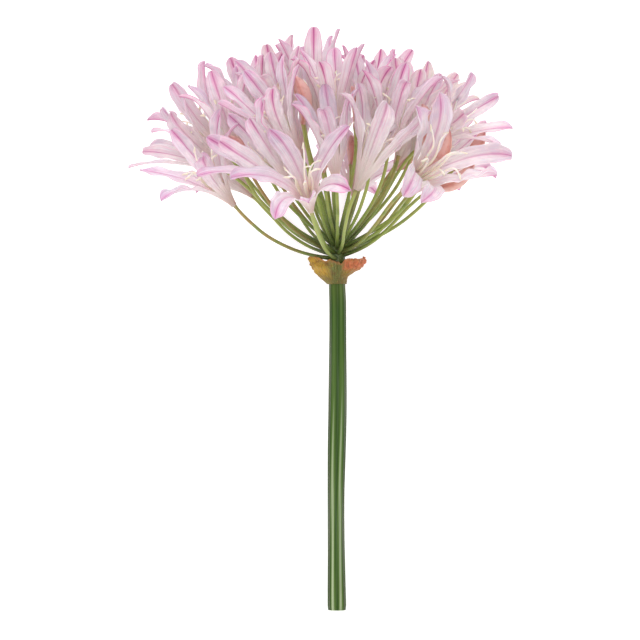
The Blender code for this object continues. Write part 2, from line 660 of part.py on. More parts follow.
def spathe_point(turn, rise):
    """A point of the spathe at this turn round the scape, rise going from 0 at its foot to 1 at its rim."""
    left = max(0.0, -math.cos(turn)) ** 1.5
    right = max(0.0, math.cos(turn)) ** 1.5
    between = 1 - left - right
    radius = SPATHE_ROOT_RADIUS + SPATHE_FLARE_LEFT * left * (1 - (1 - rise) ** 1.7)
    radius += SPATHE_FLARE_RIGHT * right * rise**2.2 + SPATHE_FLARE_BETWEEN * between * rise**1.6
    rim = SPATHE_RIM_LEFT * left + SPATHE_RIM_RIGHT * right + SPATHE_RIM_BETWEEN * between
    height = SPATHE_FOOT + (rim - SPATHE_FOOT) * (rise - 0.16 * left * rise**6)
    height += SPATHE_RUFFLE * rise * math.sin(SPATHE_RUFFLES * turn + 1.0)
    return Vector((radius * math.cos(turn), height, radius * math.sin(turn)))


def build_spathe(collection, material):
    """The spathe: a thin sheath that opens in two lobes at its rim."""
    mesh = bmesh.new()
    turns = [math.tau * k / SPATHE_SIDES for k in range(SPATHE_SIDES)]
    rows = [[mesh.verts.new(spathe_point(turn, rise)) for turn in turns] for rise in SPATHE_ROWS]
    for low, high in zip(rows, rows[1:]):
        for k in range(SPATHE_SIDES):
            after = (k + 1) % SPATHE_SIDES
            mesh.faces.new((low[k], high[k], high[after], low[after]))
    bmesh.ops.triangulate(mesh, faces=mesh.faces)
    data = bpy.data.meshes.new("spathe")
    mesh.to_mesh(data)
    mesh.free()
    spathe = add_object("spathe", data, collection, material)
    shell = spathe.modifiers.new("thickness", "SOLIDIFY")
    shell.thickness = SPATHE_THICKNESS
    shell.offset = 0.0
    return spathe


def lay_down(pieces, collection):
    """Tilts the plant on its back and puts the middle of its underside at the origin."""
    tilt = Matrix.Rotation(LYING_TILT, 4, "X")
    bpy.context.view_layer.update()
    graph = bpy.context.evaluated_depsgraph_get()
    corners = []
    for piece in pieces:
        corners += [tilt @ vert.co for vert in piece.evaluated_get(graph).data.vertices]
    low = [min(c[axis] for c in corners) for axis in range(3)]
    high = [max(c[axis] for c in corners) for axis in range(3)]
    frame = bpy.data.objects.new("lying", None)
    collection.objects.link(frame)
    frame.rotation_euler = (LYING_TILT, 0.0, 0.0)
    frame.location = (-(low[0] + high[0]) / 2, -(low[1] + high[1]) / 2, -low[2])
    for piece in pieces:
        piece.parent = frame


def build():
    """The whole flower head."""
    for old in list(bpy.data.objects):
        bpy.data.objects.remove(old)
    collection = bpy.data.collections.new("agapanthus_flower_head")
    bpy.context.scene.collection.children.link(collection)
    petal = fresh_material("petal", PETAL_PINK, 0.5)
    coral = fresh_material("bud", BUD_CORAL, 0.45)
    stalk = fresh_material("pedicel", PEDICEL_GREEN, 0.5)
    layout = bend_clear(Layout())
    pieces = [
        build_scape(collection, fresh_material("scape", SCAPE_GREEN, 0.4)),
        build_spathe(collection, fresh_material("spathe", SPATHE_OCHRE, 0.6)),
        build_pedicels(layout, collection, stalk),
    ]
    pieces += [build_floret(layout, k, collection, petal) for k in range(len(layout.names))]
    pieces += [build_bud(layout, k, collection, coral) for k in range(len(layout.bud_names))]
    lay_down(pieces, collection)


build()
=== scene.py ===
"""The agapanthus flower head, dressed: a cut scape, its papery spathe, and an umbel of open florets and buds.

The head lies on a pale floor with its face up, and the camera looks down on it, square to the scape. Sizes are
in metres. Pieces are shaped in the plant's own frame (X across the head, Y along the scape, Z out of its face)
and are then laid down as the solids lie.
"""

import math

import bpy
import numpy as np
from mathutils import Matrix, Vector, noise


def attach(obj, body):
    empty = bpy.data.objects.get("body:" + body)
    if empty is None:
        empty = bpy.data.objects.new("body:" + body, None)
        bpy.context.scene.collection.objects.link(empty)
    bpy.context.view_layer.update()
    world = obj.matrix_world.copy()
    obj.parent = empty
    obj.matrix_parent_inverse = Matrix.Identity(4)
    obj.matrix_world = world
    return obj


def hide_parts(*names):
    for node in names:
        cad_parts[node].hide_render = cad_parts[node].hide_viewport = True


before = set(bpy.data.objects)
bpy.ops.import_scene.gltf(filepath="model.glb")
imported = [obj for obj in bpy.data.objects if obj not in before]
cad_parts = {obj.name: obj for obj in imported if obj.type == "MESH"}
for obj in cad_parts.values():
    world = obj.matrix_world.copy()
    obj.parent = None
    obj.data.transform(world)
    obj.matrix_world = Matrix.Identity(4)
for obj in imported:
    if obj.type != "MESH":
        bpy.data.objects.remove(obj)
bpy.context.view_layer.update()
bpy.ops.object.select_all(action="DESELECT")

# The scape
# The one thick stalk that carries the head. It is a solid, juicy green stem with shallow ribs and pale streaks,
# a little swaying, and it was cut square from the plant.
MM = 0.001
SCAPE_FOOT = -176.0 * MM
SCAPE_TOP = -5.5 * MM
SCAPE_RADIUS = 4.25 * MM
SCAPE_NECK = -13.5 * MM
SCAPE_SHOULDER = -21.0 * MM
SCAPE_NECK_RADIUS = 3.9 * MM
SCAPE_SWELL = 0.22 * MM
SCAPE_SWAY = 0.45 * MM
SCAPE_RIBS = 8
SCAPE_RIB_DEPTH = 0.16 * MM
# Painted highlight stripes round the scape: how many, and the turn of the first (radians), set where the camera sees
# them
SCAPE_PAINTED_HIGHLIGHTS = 6
SCAPE_FIRST_PAINTED_HIGHLIGHT = 2.09
SCAPE_CUT_RINGS = (0.06, 0.30)
SCAPE_CUT_EDGE = 0.25 * MM
SCAPE_PITH_SINK = 0.35 * MM
SCAPE_SIDES = 96
SCAPE_CUTS = 70
LYING_TILT = math.radians(23.5)

tilt = np.array(Matrix.Rotation(LYING_TILT, 3, "X"))


def points_of(piece):
    """The corners of a piece, one row each."""
    points = np.empty(len(piece.data.vertices) * 3)
    piece.data.vertices.foreach_get("co", points)
    return points.reshape(-1, 3)


def set_points(piece, points):
    """Moves the corners of a piece there."""
    piece.data.vertices.foreach_set("co", np.ascontiguousarray(points, dtype=np.float64).ravel())
    piece.data.update()


cut_end = np.unique(np.round(points_of(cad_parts["scape"]), 7), axis=0)
cut_end = cut_end[cut_end @ tilt[:, 1] < (cut_end @ tilt[:, 1]).min() + MM]
lying_at = cut_end.mean(axis=0) - tilt @ np.array([0.0, SCAPE_FOOT, 0.0])


def laid(points):
    """Points of the plant's own frame, where the lying plant has them."""
    return np.asarray(points) @ tilt.T + lying_at


def chosen(*pieces):
    """Makes these pieces the only ones selected, and the first of them the active one."""
    bpy.ops.object.select_all(action="DESELECT")
    for piece in pieces:
        piece.select_set(True)
    bpy.context.view_layer.objects.active = pieces[0]


def named(piece, name, slot, *nodes):
    """Finishes a piece: named, smooth, riding on the root and standing for these solids."""
    chosen(piece)
    piece.name = piece.data.name = name
    bpy.ops.object.shade_smooth()
    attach(piece, "root")
    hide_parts(*nodes)
    bpy.ops.object.select_all(action="DESELECT")


def applied(piece, kind, **values):
    """Adds a modifier with these values to a piece and applies it."""
    modifier = piece.modifiers.new("shaping", kind)
    for name, value in values.items():
        setattr(modifier, name, value)
    bpy.context.view_layer.objects.active = piece
    bpy.ops.object.modifier_apply(modifier=modifier.name)


def add_tube(sides, cuts, caps="NGON"):
    """A tube of radius 1 and height 1 from the origin up, cut into rings all along; it is bent into shape later."""
    bpy.ops.mesh.primitive_cylinder_add(vertices=sides, radius=1, depth=1, end_fill_type=caps, location=(0, 0, 0))
    tube = bpy.context.object
    bpy.ops.object.mode_set(mode="EDIT")
    bpy.ops.mesh.select_mode(type="EDGE")
    bpy.ops.mesh.select_all(action="DESELECT")
    bpy.ops.object.mode_set(mode="OBJECT")
    points = points_of(tube)
    for edge in tube.data.edges:
        edge.select = bool(abs(points[edge.vertices[0]][2] - points[edge.vertices[1]][2]) > 0.5)
    bpy.ops.object.mode_set(mode="EDIT")
    bpy.ops.mesh.subdivide(number_cuts=cuts)
    bpy.ops.object.mode_set(mode="OBJECT")
    points = points_of(tube)
    points[:, 2] += 0.5
    set_points(tube, points)
    return tube


def painted(colour):
    """A colour as a screen shows it, 0 to 255, as the shader's linear colour; one of four numbers is linear already."""
    if len(colour) == 4:
        return colour
    levels = [level / 255 for level in colour]
    return (*[c / 12.92 if c <= 0.04045 else ((c + 0.055) / 1.055) ** 2.4 for c in levels], 1.0)


class Recipe:
    """A material as it is mixed, node by node; its shader is a Principled BSDF."""

    def __init__(self, name, roughness, **sockets):
        self.material = bpy.data.materials.new(name)
        self.material.use_nodes = True
        self.tree = self.material.node_tree
        self.shader = self.tree.nodes["Principled BSDF"]
        self.shader.inputs["Roughness"].default_value = roughness
        for socket, value in sockets.items():
            self.shader.inputs[socket.replace("_", " ")].default_value = value

    def add(self, kind, *inputs, **settings):
        """A node with these settings; each input is a value, another node's output, or None to leave it."""
        node = self.tree.nodes.new(kind)
        for name, value in settings.items():
            setattr(node, name, value)
        for socket, value in zip(node.inputs, inputs):
            if isinstance(value, bpy.types.NodeSocket):
                self.tree.links.new(value, socket)
            elif value is not None:
                socket.default_value = value
        return node

    def math(self, operation, *inputs, clamp=False):
        """A number worked out from others."""
        return self.add("ShaderNodeMath", *inputs, operation=operation, use_clamp=clamp).outputs[0]

    def times(self, number, *others):
        """Numbers multiplied."""
        for other in others:
            number = self.math("MULTIPLY", number, other)
        return number

    def mix(self, share, *colours):
        """Two colours mixed, share of the second."""
        colours = [painted(colour) if isinstance(colour, tuple) else colour for colour in colours]
        return self.add("ShaderNodeMix", share, *[None] * 5, *colours, data_type="RGBA").outputs[2]

    def ramp(self, value, *stops):
        """A colour or a grey read from stops of place and colour."""
        node = self.add("ShaderNodeValToRGB", value)
        node.color_ramp.interpolation = "EASE"
        elements = node.color_ramp.elements
        while len(elements) < len(stops):
            elements.new(0.5)
        for element, (place, colour) in zip(elements, stops):
            element.position = place
            element.color = painted(colour) if isinstance(colour, tuple) else (colour, colour, colour, 1.0)
        return node.outputs[0]

    def over(self, colour, *layers):
        """A colour with others laid over it; a layer is a number, the two stops that make it a share, and a colour."""
        for number, first, last, layer in layers:
            colour = self.mix(self.ramp(number, first, last), colour, layer)
        return colour

    def own(self, name):
        """A number that the piece's own corners carry."""
        return self.add("ShaderNodeAttribute", attribute_name=name).outputs["Fac"]

    def grain(self, scale, detail, stretch=(1.0, 1.0, 1.0), places=None, turn=0.0):
        """Noise at this scale, drawn out by stretch along each axis once the plant's tilt is turned back."""
        if places is None:
            places = self.add("ShaderNodeTexCoord").outputs["Object"]
        mapped = self.add("ShaderNodeMapping", places, None, (turn, 0.0, 0.0), stretch, vector_type="TEXTURE")
        return self.add("ShaderNodeTexNoise", mapped.outputs[0], None, scale, detail).outputs[0]

    def finished(self, colour, height=None, distance=0.0, strength=1.0):
        """The material, with this colour and, where a height is given, this small relief."""
        self.tree.links.new(colour, self.shader.inputs["Base Color"])
        if height is not None:
            bump = self.add("ShaderNodeBump", strength, distance)
            self.tree.links.new(height, bump.inputs["Height"])
            self.tree.links.new(bump.outputs[0], self.shader.inputs["Normal"])
        return self.material


def carry(piece, name, values):
    """Gives every corner of a piece a number of its own, for the materials."""
    layer = piece.data.attributes.new(name, "FLOAT", "POINT")
    layer.data.foreach_set("value", np.broadcast_to(np.asarray(values, dtype=float), len(piece.data.vertices)).copy())


def stalk_skin():
    """Dark green satin skin with fine streaks and a few brownish patches.

    Paler stripes along it are painted highlights, and its darker sides are painted shade.
    """
    mix = Recipe("scape skin", 0.36, Specular_IOR_Level=0.2)
    streaks = mix.grain(900, 4, (1.0, 30.0, 1.0), turn=LYING_TILT)
    wide = mix.grain(330, 2, (1.0, 40.0, 1.0), turn=LYING_TILT)
    patches = mix.grain(60, 2, (1.0, 2.5, 1.0), turn=LYING_TILT)
    # Pale grey green at the top stop is a painted highlight, and dark olive at the low stops is a painted shade
    green = mix.ramp(
        mix.own("rib_and_painted_light"), (0.10, (60, 60, 12)), (0.42, (44, 74, 18)), (0.66, (80, 108, 46)), (0.88, (172, 186, 146))
    )
    green = mix.over(
        green,
        (streaks, (0.48, 0.0), (0.75, 0.22), (70, 92, 36)),
        (wide, (0.54, 0.0), (0.70, 0.3), (30, 52, 12)),
        (patches, (0.50, 0.0), (0.80, 0.35), (72, 72, 28)),
        (mix.own("along"), (0.88, 0.0), (0.96, 0.35), (92, 104, 44)),
    )
    return mix.finished(green, streaks, 0.0001)


def stalk_cut():
    """The fresh cut: pale wet pith, flecked with green bundles."""
    mix = Recipe("scape cut", 0.35)
    fibres = mix.grain(2600, 2)
    return mix.finished(mix.ramp(fibres, (0.40, (206, 214, 160)), (0.62, (120, 146, 74))), fibres, 0.0002)


scape = add_tube(SCAPE_SIDES, SCAPE_CUTS)
bpy.ops.object.mode_set(mode="EDIT")
bpy.ops.mesh.select_mode(type="FACE")
bpy.ops.mesh.select_all(action="DESELECT")
bpy.ops.object.mode_set(mode="OBJECT")
for face in scape.data.polygons:
    face.select = abs(face.normal.z) > 0.9
bpy.ops.object.mode_set(mode="EDIT")
for ring in SCAPE_CUT_RINGS:
    bpy.ops.mesh.inset(thickness=ring)
bpy.ops.object.mode_set(mode="OBJECT")
unit_points = points_of(scape)
turn = np.arctan2(unit_points[:, 1], unit_points[:, 0])
out = np.hypot(unit_points[:, 0], unit_points[:, 1])
at_skin, at_cut = out > 0.99, unit_points[:, 2] < 0.001
height = SCAPE_FOOT + (SCAPE_TOP - SCAPE_FOOT) * unit_points[:, 2]
narrow = np.clip((height - SCAPE_SHOULDER) / (SCAPE_NECK - SCAPE_SHOULDER), 0, 1)
girth = SCAPE_RADIUS + (SCAPE_NECK_RADIUS - SCAPE_RADIUS) * narrow
girth = girth + SCAPE_SWELL * np.sin(height * 60) * (1 - narrow)
fine = 13 * turn + 90 * height
rib_and_painted_light = SCAPE_RIB_DEPTH * (np.cos(SCAPE_RIBS * turn) + 0.45 * np.cos(fine + 1.0))
reach = out * (girth + rib_and_painted_light * at_skin) - SCAPE_CUT_EDGE * at_skin * at_cut
across = SCAPE_SWAY * np.sin(height / SCAPE_FOOT * math.tau) * (1 - narrow) + reach * np.cos(turn)
up = height + SCAPE_PITH_SINK * (out < 0.7) * at_cut
set_points(scape, laid(np.stack([across, up, reach * np.sin(turn)], axis=1)))
carry(scape, "along", unit_points[:, 2])
# Painted light: pale stripes where the camera sees satin highlights, and sides painted darker as shade; the stripes
# fade and the green darkens a little towards the head
painted_light_bands = 0.24 * np.cos(SCAPE_PAINTED_HIGHLIGHTS * (turn - SCAPE_FIRST_PAINTED_HIGHLIGHT)) - 0.20 * np.cos(2 * turn) + 0.04 * np.cos(fine)
upper = np.clip((unit_points[:, 2] - 0.35) / 0.45, 0, 1)
carry(scape, "rib_and_painted_light", 0.5 - 0.05 * upper + painted_light_bands * (1.0 - 0.55 * upper))
scape.data.materials.append(stalk_skin())
scape.data.materials.append(stalk_cut())
for face in scape.data.polygons:
    face.material_index = int(at_cut[list(face.vertices)].all())
bpy.ops.object.mode_set(mode="EDIT")
bpy.ops.mesh.select_all(action="SELECT")
bpy.ops.mesh.normals_make_consistent(inside=False)
bpy.ops.object.mode_set(mode="OBJECT")
named(scape, "scape_stalk", "scape", "scape")

# The spathe
# Two papery bracts that wrapped the young umbel and have dried back to a sheath round the neck. They are thin,
# ochre and olive, crumpled and torn at the rim, and the left one hangs out as a loose flap.
SPATHE_THICKNESS = 0.35 * MM
SPATHE_ROOT_RADIUS = 4.75 * MM
SPATHE_SIDES = 180
SPATHE_CUTS = 40
SPATHE_FOOT = -13.0 * MM
SPATHE_RIM_LEFT = 2.4 * MM
SPATHE_RIM_RIGHT = 0.6 * MM
SPATHE_RIM_BETWEEN = -1.6 * MM
SPATHE_FLARE_LEFT = 9.0 * MM
SPATHE_FLARE_RIGHT = 9.5 * MM
SPATHE_FLARE_BETWEEN = 1.2 * MM
SPATHE_RIPPLE = 0.35 * MM
SPATHE_SPLIT_WIDTH = 0.09

# Crumples and tears as fineness and depth (mm), splits in the rim as turn round the scape (radians) and depth (mm)
SPATHE_CRUMPLES = ((300, 1.9), (700, 1.0), (1600, 0.3))
SPATHE_TEARS = ((380, 1.3), (1300, 0.8))
SPATHE_SPLITS = ((1.25, 1.6), (-1.05, 1.4), (2.2, 1.1), (-2.3, 1.3))


def unit(vectors):
    """The vectors along the last axis, each made one long."""
    return vectors / np.maximum(np.linalg.norm(vectors, axis=-1, keepdims=True), 1e-12)


def wrinkle(points, *layers):
    """Smooth noise at each point; each layer is a fineness and about how far it goes either way, in millimetres."""
    return sum(np.array([noise.noise(Vector(p) * scale) for p in points]) * (depth * MM) for scale, depth in layers)


def spathe_points(turn, rise):
    """Where the spathe's sheet runs at this turn round the scape, rise going from 0 at its foot to 1 at its rim."""
    left = np.clip(-np.cos(turn), 0, 1) ** 1.5
    right = np.clip(np.cos(turn), 0, 1) ** 1.5
    between = 1 - left - right
    radius = SPATHE_ROOT_RADIUS + SPATHE_FLARE_LEFT * left * (1 - (1 - rise) ** 2.1)
    opened = np.clip((rise - 0.22) / 0.48, 0, 1)
    opened = 0.72 * opened**2 * (3 - 2 * opened) + 0.28 * rise**2
    radius += SPATHE_FLARE_RIGHT * right * opened + SPATHE_FLARE_BETWEEN * between * rise**1.6
    rim = SPATHE_RIM_LEFT * left + SPATHE_RIM_RIGHT * right + SPATHE_RIM_BETWEEN * between
    height = SPATHE_FOOT + (rim - SPATHE_FOOT) * (rise - 0.08 * left * rise**6)
    height = height + SPATHE_RIPPLE * rise * np.sin(7 * turn + 1.0)
    return np.stack([radius * np.cos(turn), height, radius * np.sin(turn)], axis=1)


def dry_bract():
    """Dried bract: yellow ochre on the left, orange on the right, olive between them, brown along its veins."""
    mix = Recipe("spathe paper", 0.55, Subsurface_Weight=0.2, Subsurface_Scale=0.001)
    blotch, fine, rise = mix.grain(330, 4), mix.grain(1900, 3), mix.own("rise")
    place = mix.math("ADD", mix.own("across"), mix.math("MULTIPLY_ADD", blotch, 0.30, -0.15))
    tint = mix.ramp(
        place,
        (0.06, (190, 148, 42)),
        (0.22, (166, 134, 48)),
        (0.36, (118, 122, 62)),
        (0.64, (114, 118, 58)),
        (0.80, (150, 120, 50)),
        (0.96, (162, 116, 52)),
    )
    tint = mix.over(tint, (rise, (0.10, 0.7), (0.50, 0.0), (104, 100, 40)))
    flap = mix.times(mix.ramp(place, (0.60, 0.0), (0.78, 1.0)), mix.ramp(rise, (0.45, 0.0), (0.70, 0.9)))
    veins = mix.math("SINE", mix.math("ADD", mix.times(mix.own("turn"), 34.0), mix.times(blotch, 5.0)))
    tint = mix.over(
        mix.mix(flap, tint, (206, 112, 72)),
        (rise, (0.82, 0.0), (1.0, 0.65), (196, 122, 74)),
        (fine, (0.52, 0.0), (0.78, 0.45), (200, 160, 84)),
        (blotch, (0.54, 0.0), (0.70, 0.55), (116, 70, 32)),
        (veins, (0.75, 0.0), (1.0, 0.45), (104, 76, 36)),
    )
    return mix.finished(tint, mix.math("ADD", fine, mix.times(veins, 0.35)), 0.0005)


spathe = add_tube(SPATHE_SIDES, SPATHE_CUTS, "NOTHING")
unit_points = points_of(spathe)
turn = np.arctan2(unit_points[:, 1], unit_points[:, 0])
rise = unit_points[:, 2]
sheet = spathe_points(turn, rise)
flat = sheet * [1.0, 0.0, 1.0]
loose = 0.15 + 0.85 * np.abs(np.cos(turn)) ** 1.2
sheet += unit(flat) * (wrinkle(sheet, *SPATHE_CRUMPLES) * loose * np.clip(rise * 1.6, 0, 1))[:, None]
sheet[:, 1] -= np.abs(wrinkle(flat, *SPATHE_TEARS)) * rise**3
for split, depth in SPATHE_SPLITS:
    sheet[:, 1] -= depth * MM * np.exp(-(((turn - split) / SPATHE_SPLIT_WIDTH) ** 2)) * rise**5
set_points(spathe, laid(sheet))
carry(spathe, "rise", rise)
carry(spathe, "turn", turn)
carry(spathe, "across", (np.cos(turn) + 1) / 2)
spathe.data.materials.append(dry_bract())
applied(spathe, "SOLIDIFY", thickness=SPATHE_THICKNESS, offset=0.0)
named(spathe, "spathe_bracts", "spathe", "spathe")

# The pedicels
# Forty-six thin round stalks that spread from a small green dome on the scape, each ending in a flower. They are
# fleshy, olive to red-brown, a little thicker at both ends, and grown in one with the dome.
SEED = 11
SEAT_GAP = 0.3 * MM
DOME_RADIUS = 4.1 * MM
DOME_HEIGHT = 16.0 * MM
DOME_LUMPS = (700, 0.25)
PEDICEL_RADIUS = 0.84 * MM
PEDICEL_ROOT_OUT = 0.35
PEDICEL_ROOT_LOW = -0.4 * MM
PEDICEL_ROOT_HIGH = 9.0 * MM
PEDICEL_ROOT_TIERS = 1.0 * MM
PEDICEL_LOW_RISE = 0.42
PEDICEL_ARCH = math.radians(28.0)
PEDICEL_LEAST_RISE = math.radians(4.0)
PEDICEL_NEAR = 0.44
PEDICEL_FAR = 0.33
PEDICEL_CLOSER = 1.3
PEDICEL_WANDER = 0.25 * MM
PEDICEL_TIP = 1.1 * MM
PEDICEL_SIDES = 12
PEDICEL_CUTS = 27
TUBE_LENGTH = 13.0 * MM
THROAT_RADIUS = 5.4 * MM
LOBE_LENGTH = 33.0 * MM
LOBE_HALF_WIDTH = 4.0 * MM
LOBE_THICKNESS = 0.7 * MM
LOBE_SLOPE = math.radians(22.0)
LOBE_FLARE = math.radians(52.0)
BUD_LENGTH = 23.0 * MM
BUD_BOW = 3.0 * MM
UP = np.array([0.0, 1.0, 0.0])

# Open florets that show from the front: foot across, up and out (mm), heading in the picture and lean out of it
# (degrees), how far they open, size, turn of the first lobe round the tube (degrees)
FRONT_FLORETS = (
    ("left_low", -50, 26, 24, 130, 28, 1.15, 1.04, 30),
    ("left_high", -55, 43, -5, 148, 0, 0.80, 1.02, 24),
    ("left_top", -52, 50, -28, 131, -8, 0.85, 1.00, 10),
    ("upper_left_outer", -48, 48, 16, 106, 6, 0.65, 1.02, 35),
    ("upper_left_inner", -38, 56, -14, 98, -3, 0.55, 1.04, 50),
    ("middle_left", -22, 34, 47, 136, 15, 0.85, 1.10, 20),
    ("front", -13, 22, 56, 104, 50, 1.40, 1.08, 53),
    ("front_side", 10, 35, 48, 66, 6, 0.85, 1.12, 6),
    ("right_front", 32, 32, 44, 40, 42, 1.30, 1.22, 10),
    ("right_high", 43, 56, 8, 34, 28, 0.95, 0.98, 18),
    ("right_back", 39, 42, -32, 32, -22, 0.80, 0.92, 40),
    ("upper_right_outer", 37, 52, -8, 68, 0, 0.65, 1.00, 12),
    ("upper_right_inner", 25, 54, 8, 77, 4, 0.60, 1.02, 25),
    ("top_right", 17, 57, 6, 88, 14, 0.80, 1.00, 42),
    ("top_middle", 3, 59, 14, 90, 8, 0.70, 1.00, 15),
    ("top_back", -8, 63, -14, 98, -4, 0.60, 1.10, 33),
    ("top_left", -22, 58, 8, 108, 16, 0.70, 1.00, 5),
    ("top_left_back", -25, 58, -28, 108, -20, 0.75, 0.96, 45),
    ("top_right_back", 18, 57, -30, 76, -22, 0.75, 0.96, 28),
    ("middle_deep", -20, 45, 40, 122, 22, 0.80, 1.02, 22),
    ("middle_high", 0, 37, 44, 95, 14, 0.70, 1.02, 48),
    ("right_middle", 22, 44, 32, 82, 16, 0.80, 1.02, 8),
)

# Rows of open florets behind those: name, height of the row, first place round the scape, step (degrees), how many
REAR_ROWS = (
    ("low", 28, 219, 31, 4),
    ("middle", 50, 214, 27, 5),
    ("high", 70, 270, 0, 1),
)
REAR_REACH = 59.0 * MM
REAR_RISE = 5.0 * MM

# Florets that show best, which yield less than their neighbours where petals meet
FIRM = {"front": 0.12, "front_side": 0.5, "right_front": 0.25, "left_low": 0.5, "middle_left": 0.6}

# Lobes that lean out of their flower's even ring, lobe by lobe: how far the tip goes across, up and out (mm)
LEANING = {
    "front": ((0, -6, 8), (-5, -8, 10), (0, -7, 0), (12, -6, 12), (-6, 8, 12), (0, -14, 8)),
    "right_front": ((0, -8, 0), (-6, -8, 10), (8, -8, 8), (0, -20, 0), (-14, 4, 6), (-8, 8, 10)),
}

# Buds: foot across, up and out (mm), heading and lean (degrees), size
BUDS = (
    ("upper_left", -21, 71, 12, 100, 45, 1.00),
    ("left_edge", -33, 62, 24, 100, 15, 0.90),
    ("middle", -17, 61, 36, 99, 25, 1.10),
    ("low_middle", -7, 42, 30, 96, 20, 1.00),
    ("left_low", -43, 42, 27, 120, 10, 0.90),
    ("upper", 9, 64, 27, 95, 25, 0.95),
    ("curved", 34, 52, 36, 92, 14, 1.15),
    ("right_middle", 18, 52, 36, 84, 20, 0.95),
    ("right_inner", 43, 42, 32, 62, 10, 1.05),
    ("right_outer", 56, 46, 12, 52, 5, 1.10),
    ("right_low", 47, 34, 22, 30, 4, 1.05),
    ("back_left", -34, 44, -42, 135, -35, 1.00),
    ("back_middle", 6, 50, -48, 90, -45, 1.00),
    ("back_right", 36, 46, -40, 50, -35, 1.00),
)

# Petals are bent clear of each other: each is tried as small balls across and along it
CLEAR_ROUNDS = 120
CLEAR_STEPS = 10
CLEAR_RADIUS = 1.7 * MM
CLEAR_EDGE = 0.72
CLEAR_LEAST_WIDTH = 1.0 * MM
CLEAR_GAIN = 0.55
CLEAR_REFRESH = 7
CLEAR_MARGIN = 4.0 * MM
OWN_LOBES_FROM = 0.45
FOOT_GAIN = 0.12
FOOT_SHARE = 0.25
BOW_GAIN = 0.1
HEART_REACH = 22.0 * MM
HEART_RADIUS = 6.0 * MM
HEART_PULL = 0.9
LOWEST = 0.6 * MM
LIFT_GAIN = 1.5
MOST_SHIFT = 9.0 * MM
MOST_BEND = 26.0 * MM
TOP_HEIGHT = SCAPE_RADIUS * math.cos(LYING_TILT) - SCAPE_FOOT * math.sin(LYING_TILT)

# Other balls: a floret's tube and mouth as height and radius (mm), radii along a bud (mm), and a stalk's radius,
# its steps and how many of them the dome hides
TUBE_BALLS = ((2, 2.2), (7, 3.4), (12, 5.9), (20, 4.4), (27, 4.4), (33, 4.0))
BUD_BALLS = (1.6, 2.6, 3.2, 3.5, 3.4, 2.8, 1.6)
STALK_BALL = 1.5 * MM
STALK_STEPS = 24
STALK_HIDDEN = 6


def limited(vectors, most):
    """The vectors, each cut to this length."""
    size = np.linalg.norm(vectors, axis=-1, keepdims=True)
    return vectors * np.minimum(1, most / np.maximum(size, 1e-12))


def pointing(heading, lean):
    """The direction at this heading in the picture plane, leaning out of it by lean, both in degrees."""
    h, e = math.radians(heading), math.radians(lean)
    return np.array([math.cos(e) * math.cos(h), math.cos(e) * math.sin(h), math.sin(e)])


def rear_florets(rng):
    """The florets of the rear rows as rows like those of FRONT_FLORETS."""
    rows = []
    for row, height, first, step, count in REAR_ROWS:
        for place in range(count):
            turn = math.radians(first + step * place + rng.uniform(-5, 5))
            rise = math.radians(height + rng.uniform(-4, 4))
            way = np.array([math.cos(rise) * math.cos(turn), math.sin(rise), math.cos(rise) * math.sin(turn)])
            foot = (way * REAR_REACH + UP * REAR_RISE) / MM
            heading = math.degrees(math.atan2(way[1] + 0.25, way[0]))
            lean = math.degrees(math.asin(way[2] * 0.95))
            opening, size, roll = rng.uniform(0.75, 1.0), rng.uniform(0.95, 1.02), 60 * rng.random()
            rows.append((f"rear_{row}_{place + 1}", *foot, heading, lean, opening, size, roll))
    return rows


def standing(rows):
    """The columns of a table of florets or buds: names, feet, axes, and the rest as they are."""
    foot = np.array([row[1:4] for row in rows]) * MM
    axis = np.array([pointing(*row[4:6]) for row in rows])
    return [row[0] for row in rows], foot, axis, *np.array([row[6:] for row in rows]).T


def bulge(s):
    """How freely a stalk's middle bows at s along it: 0 at its ends, 1 halfway."""
    return 16 * (s * (1 - s)) ** 2


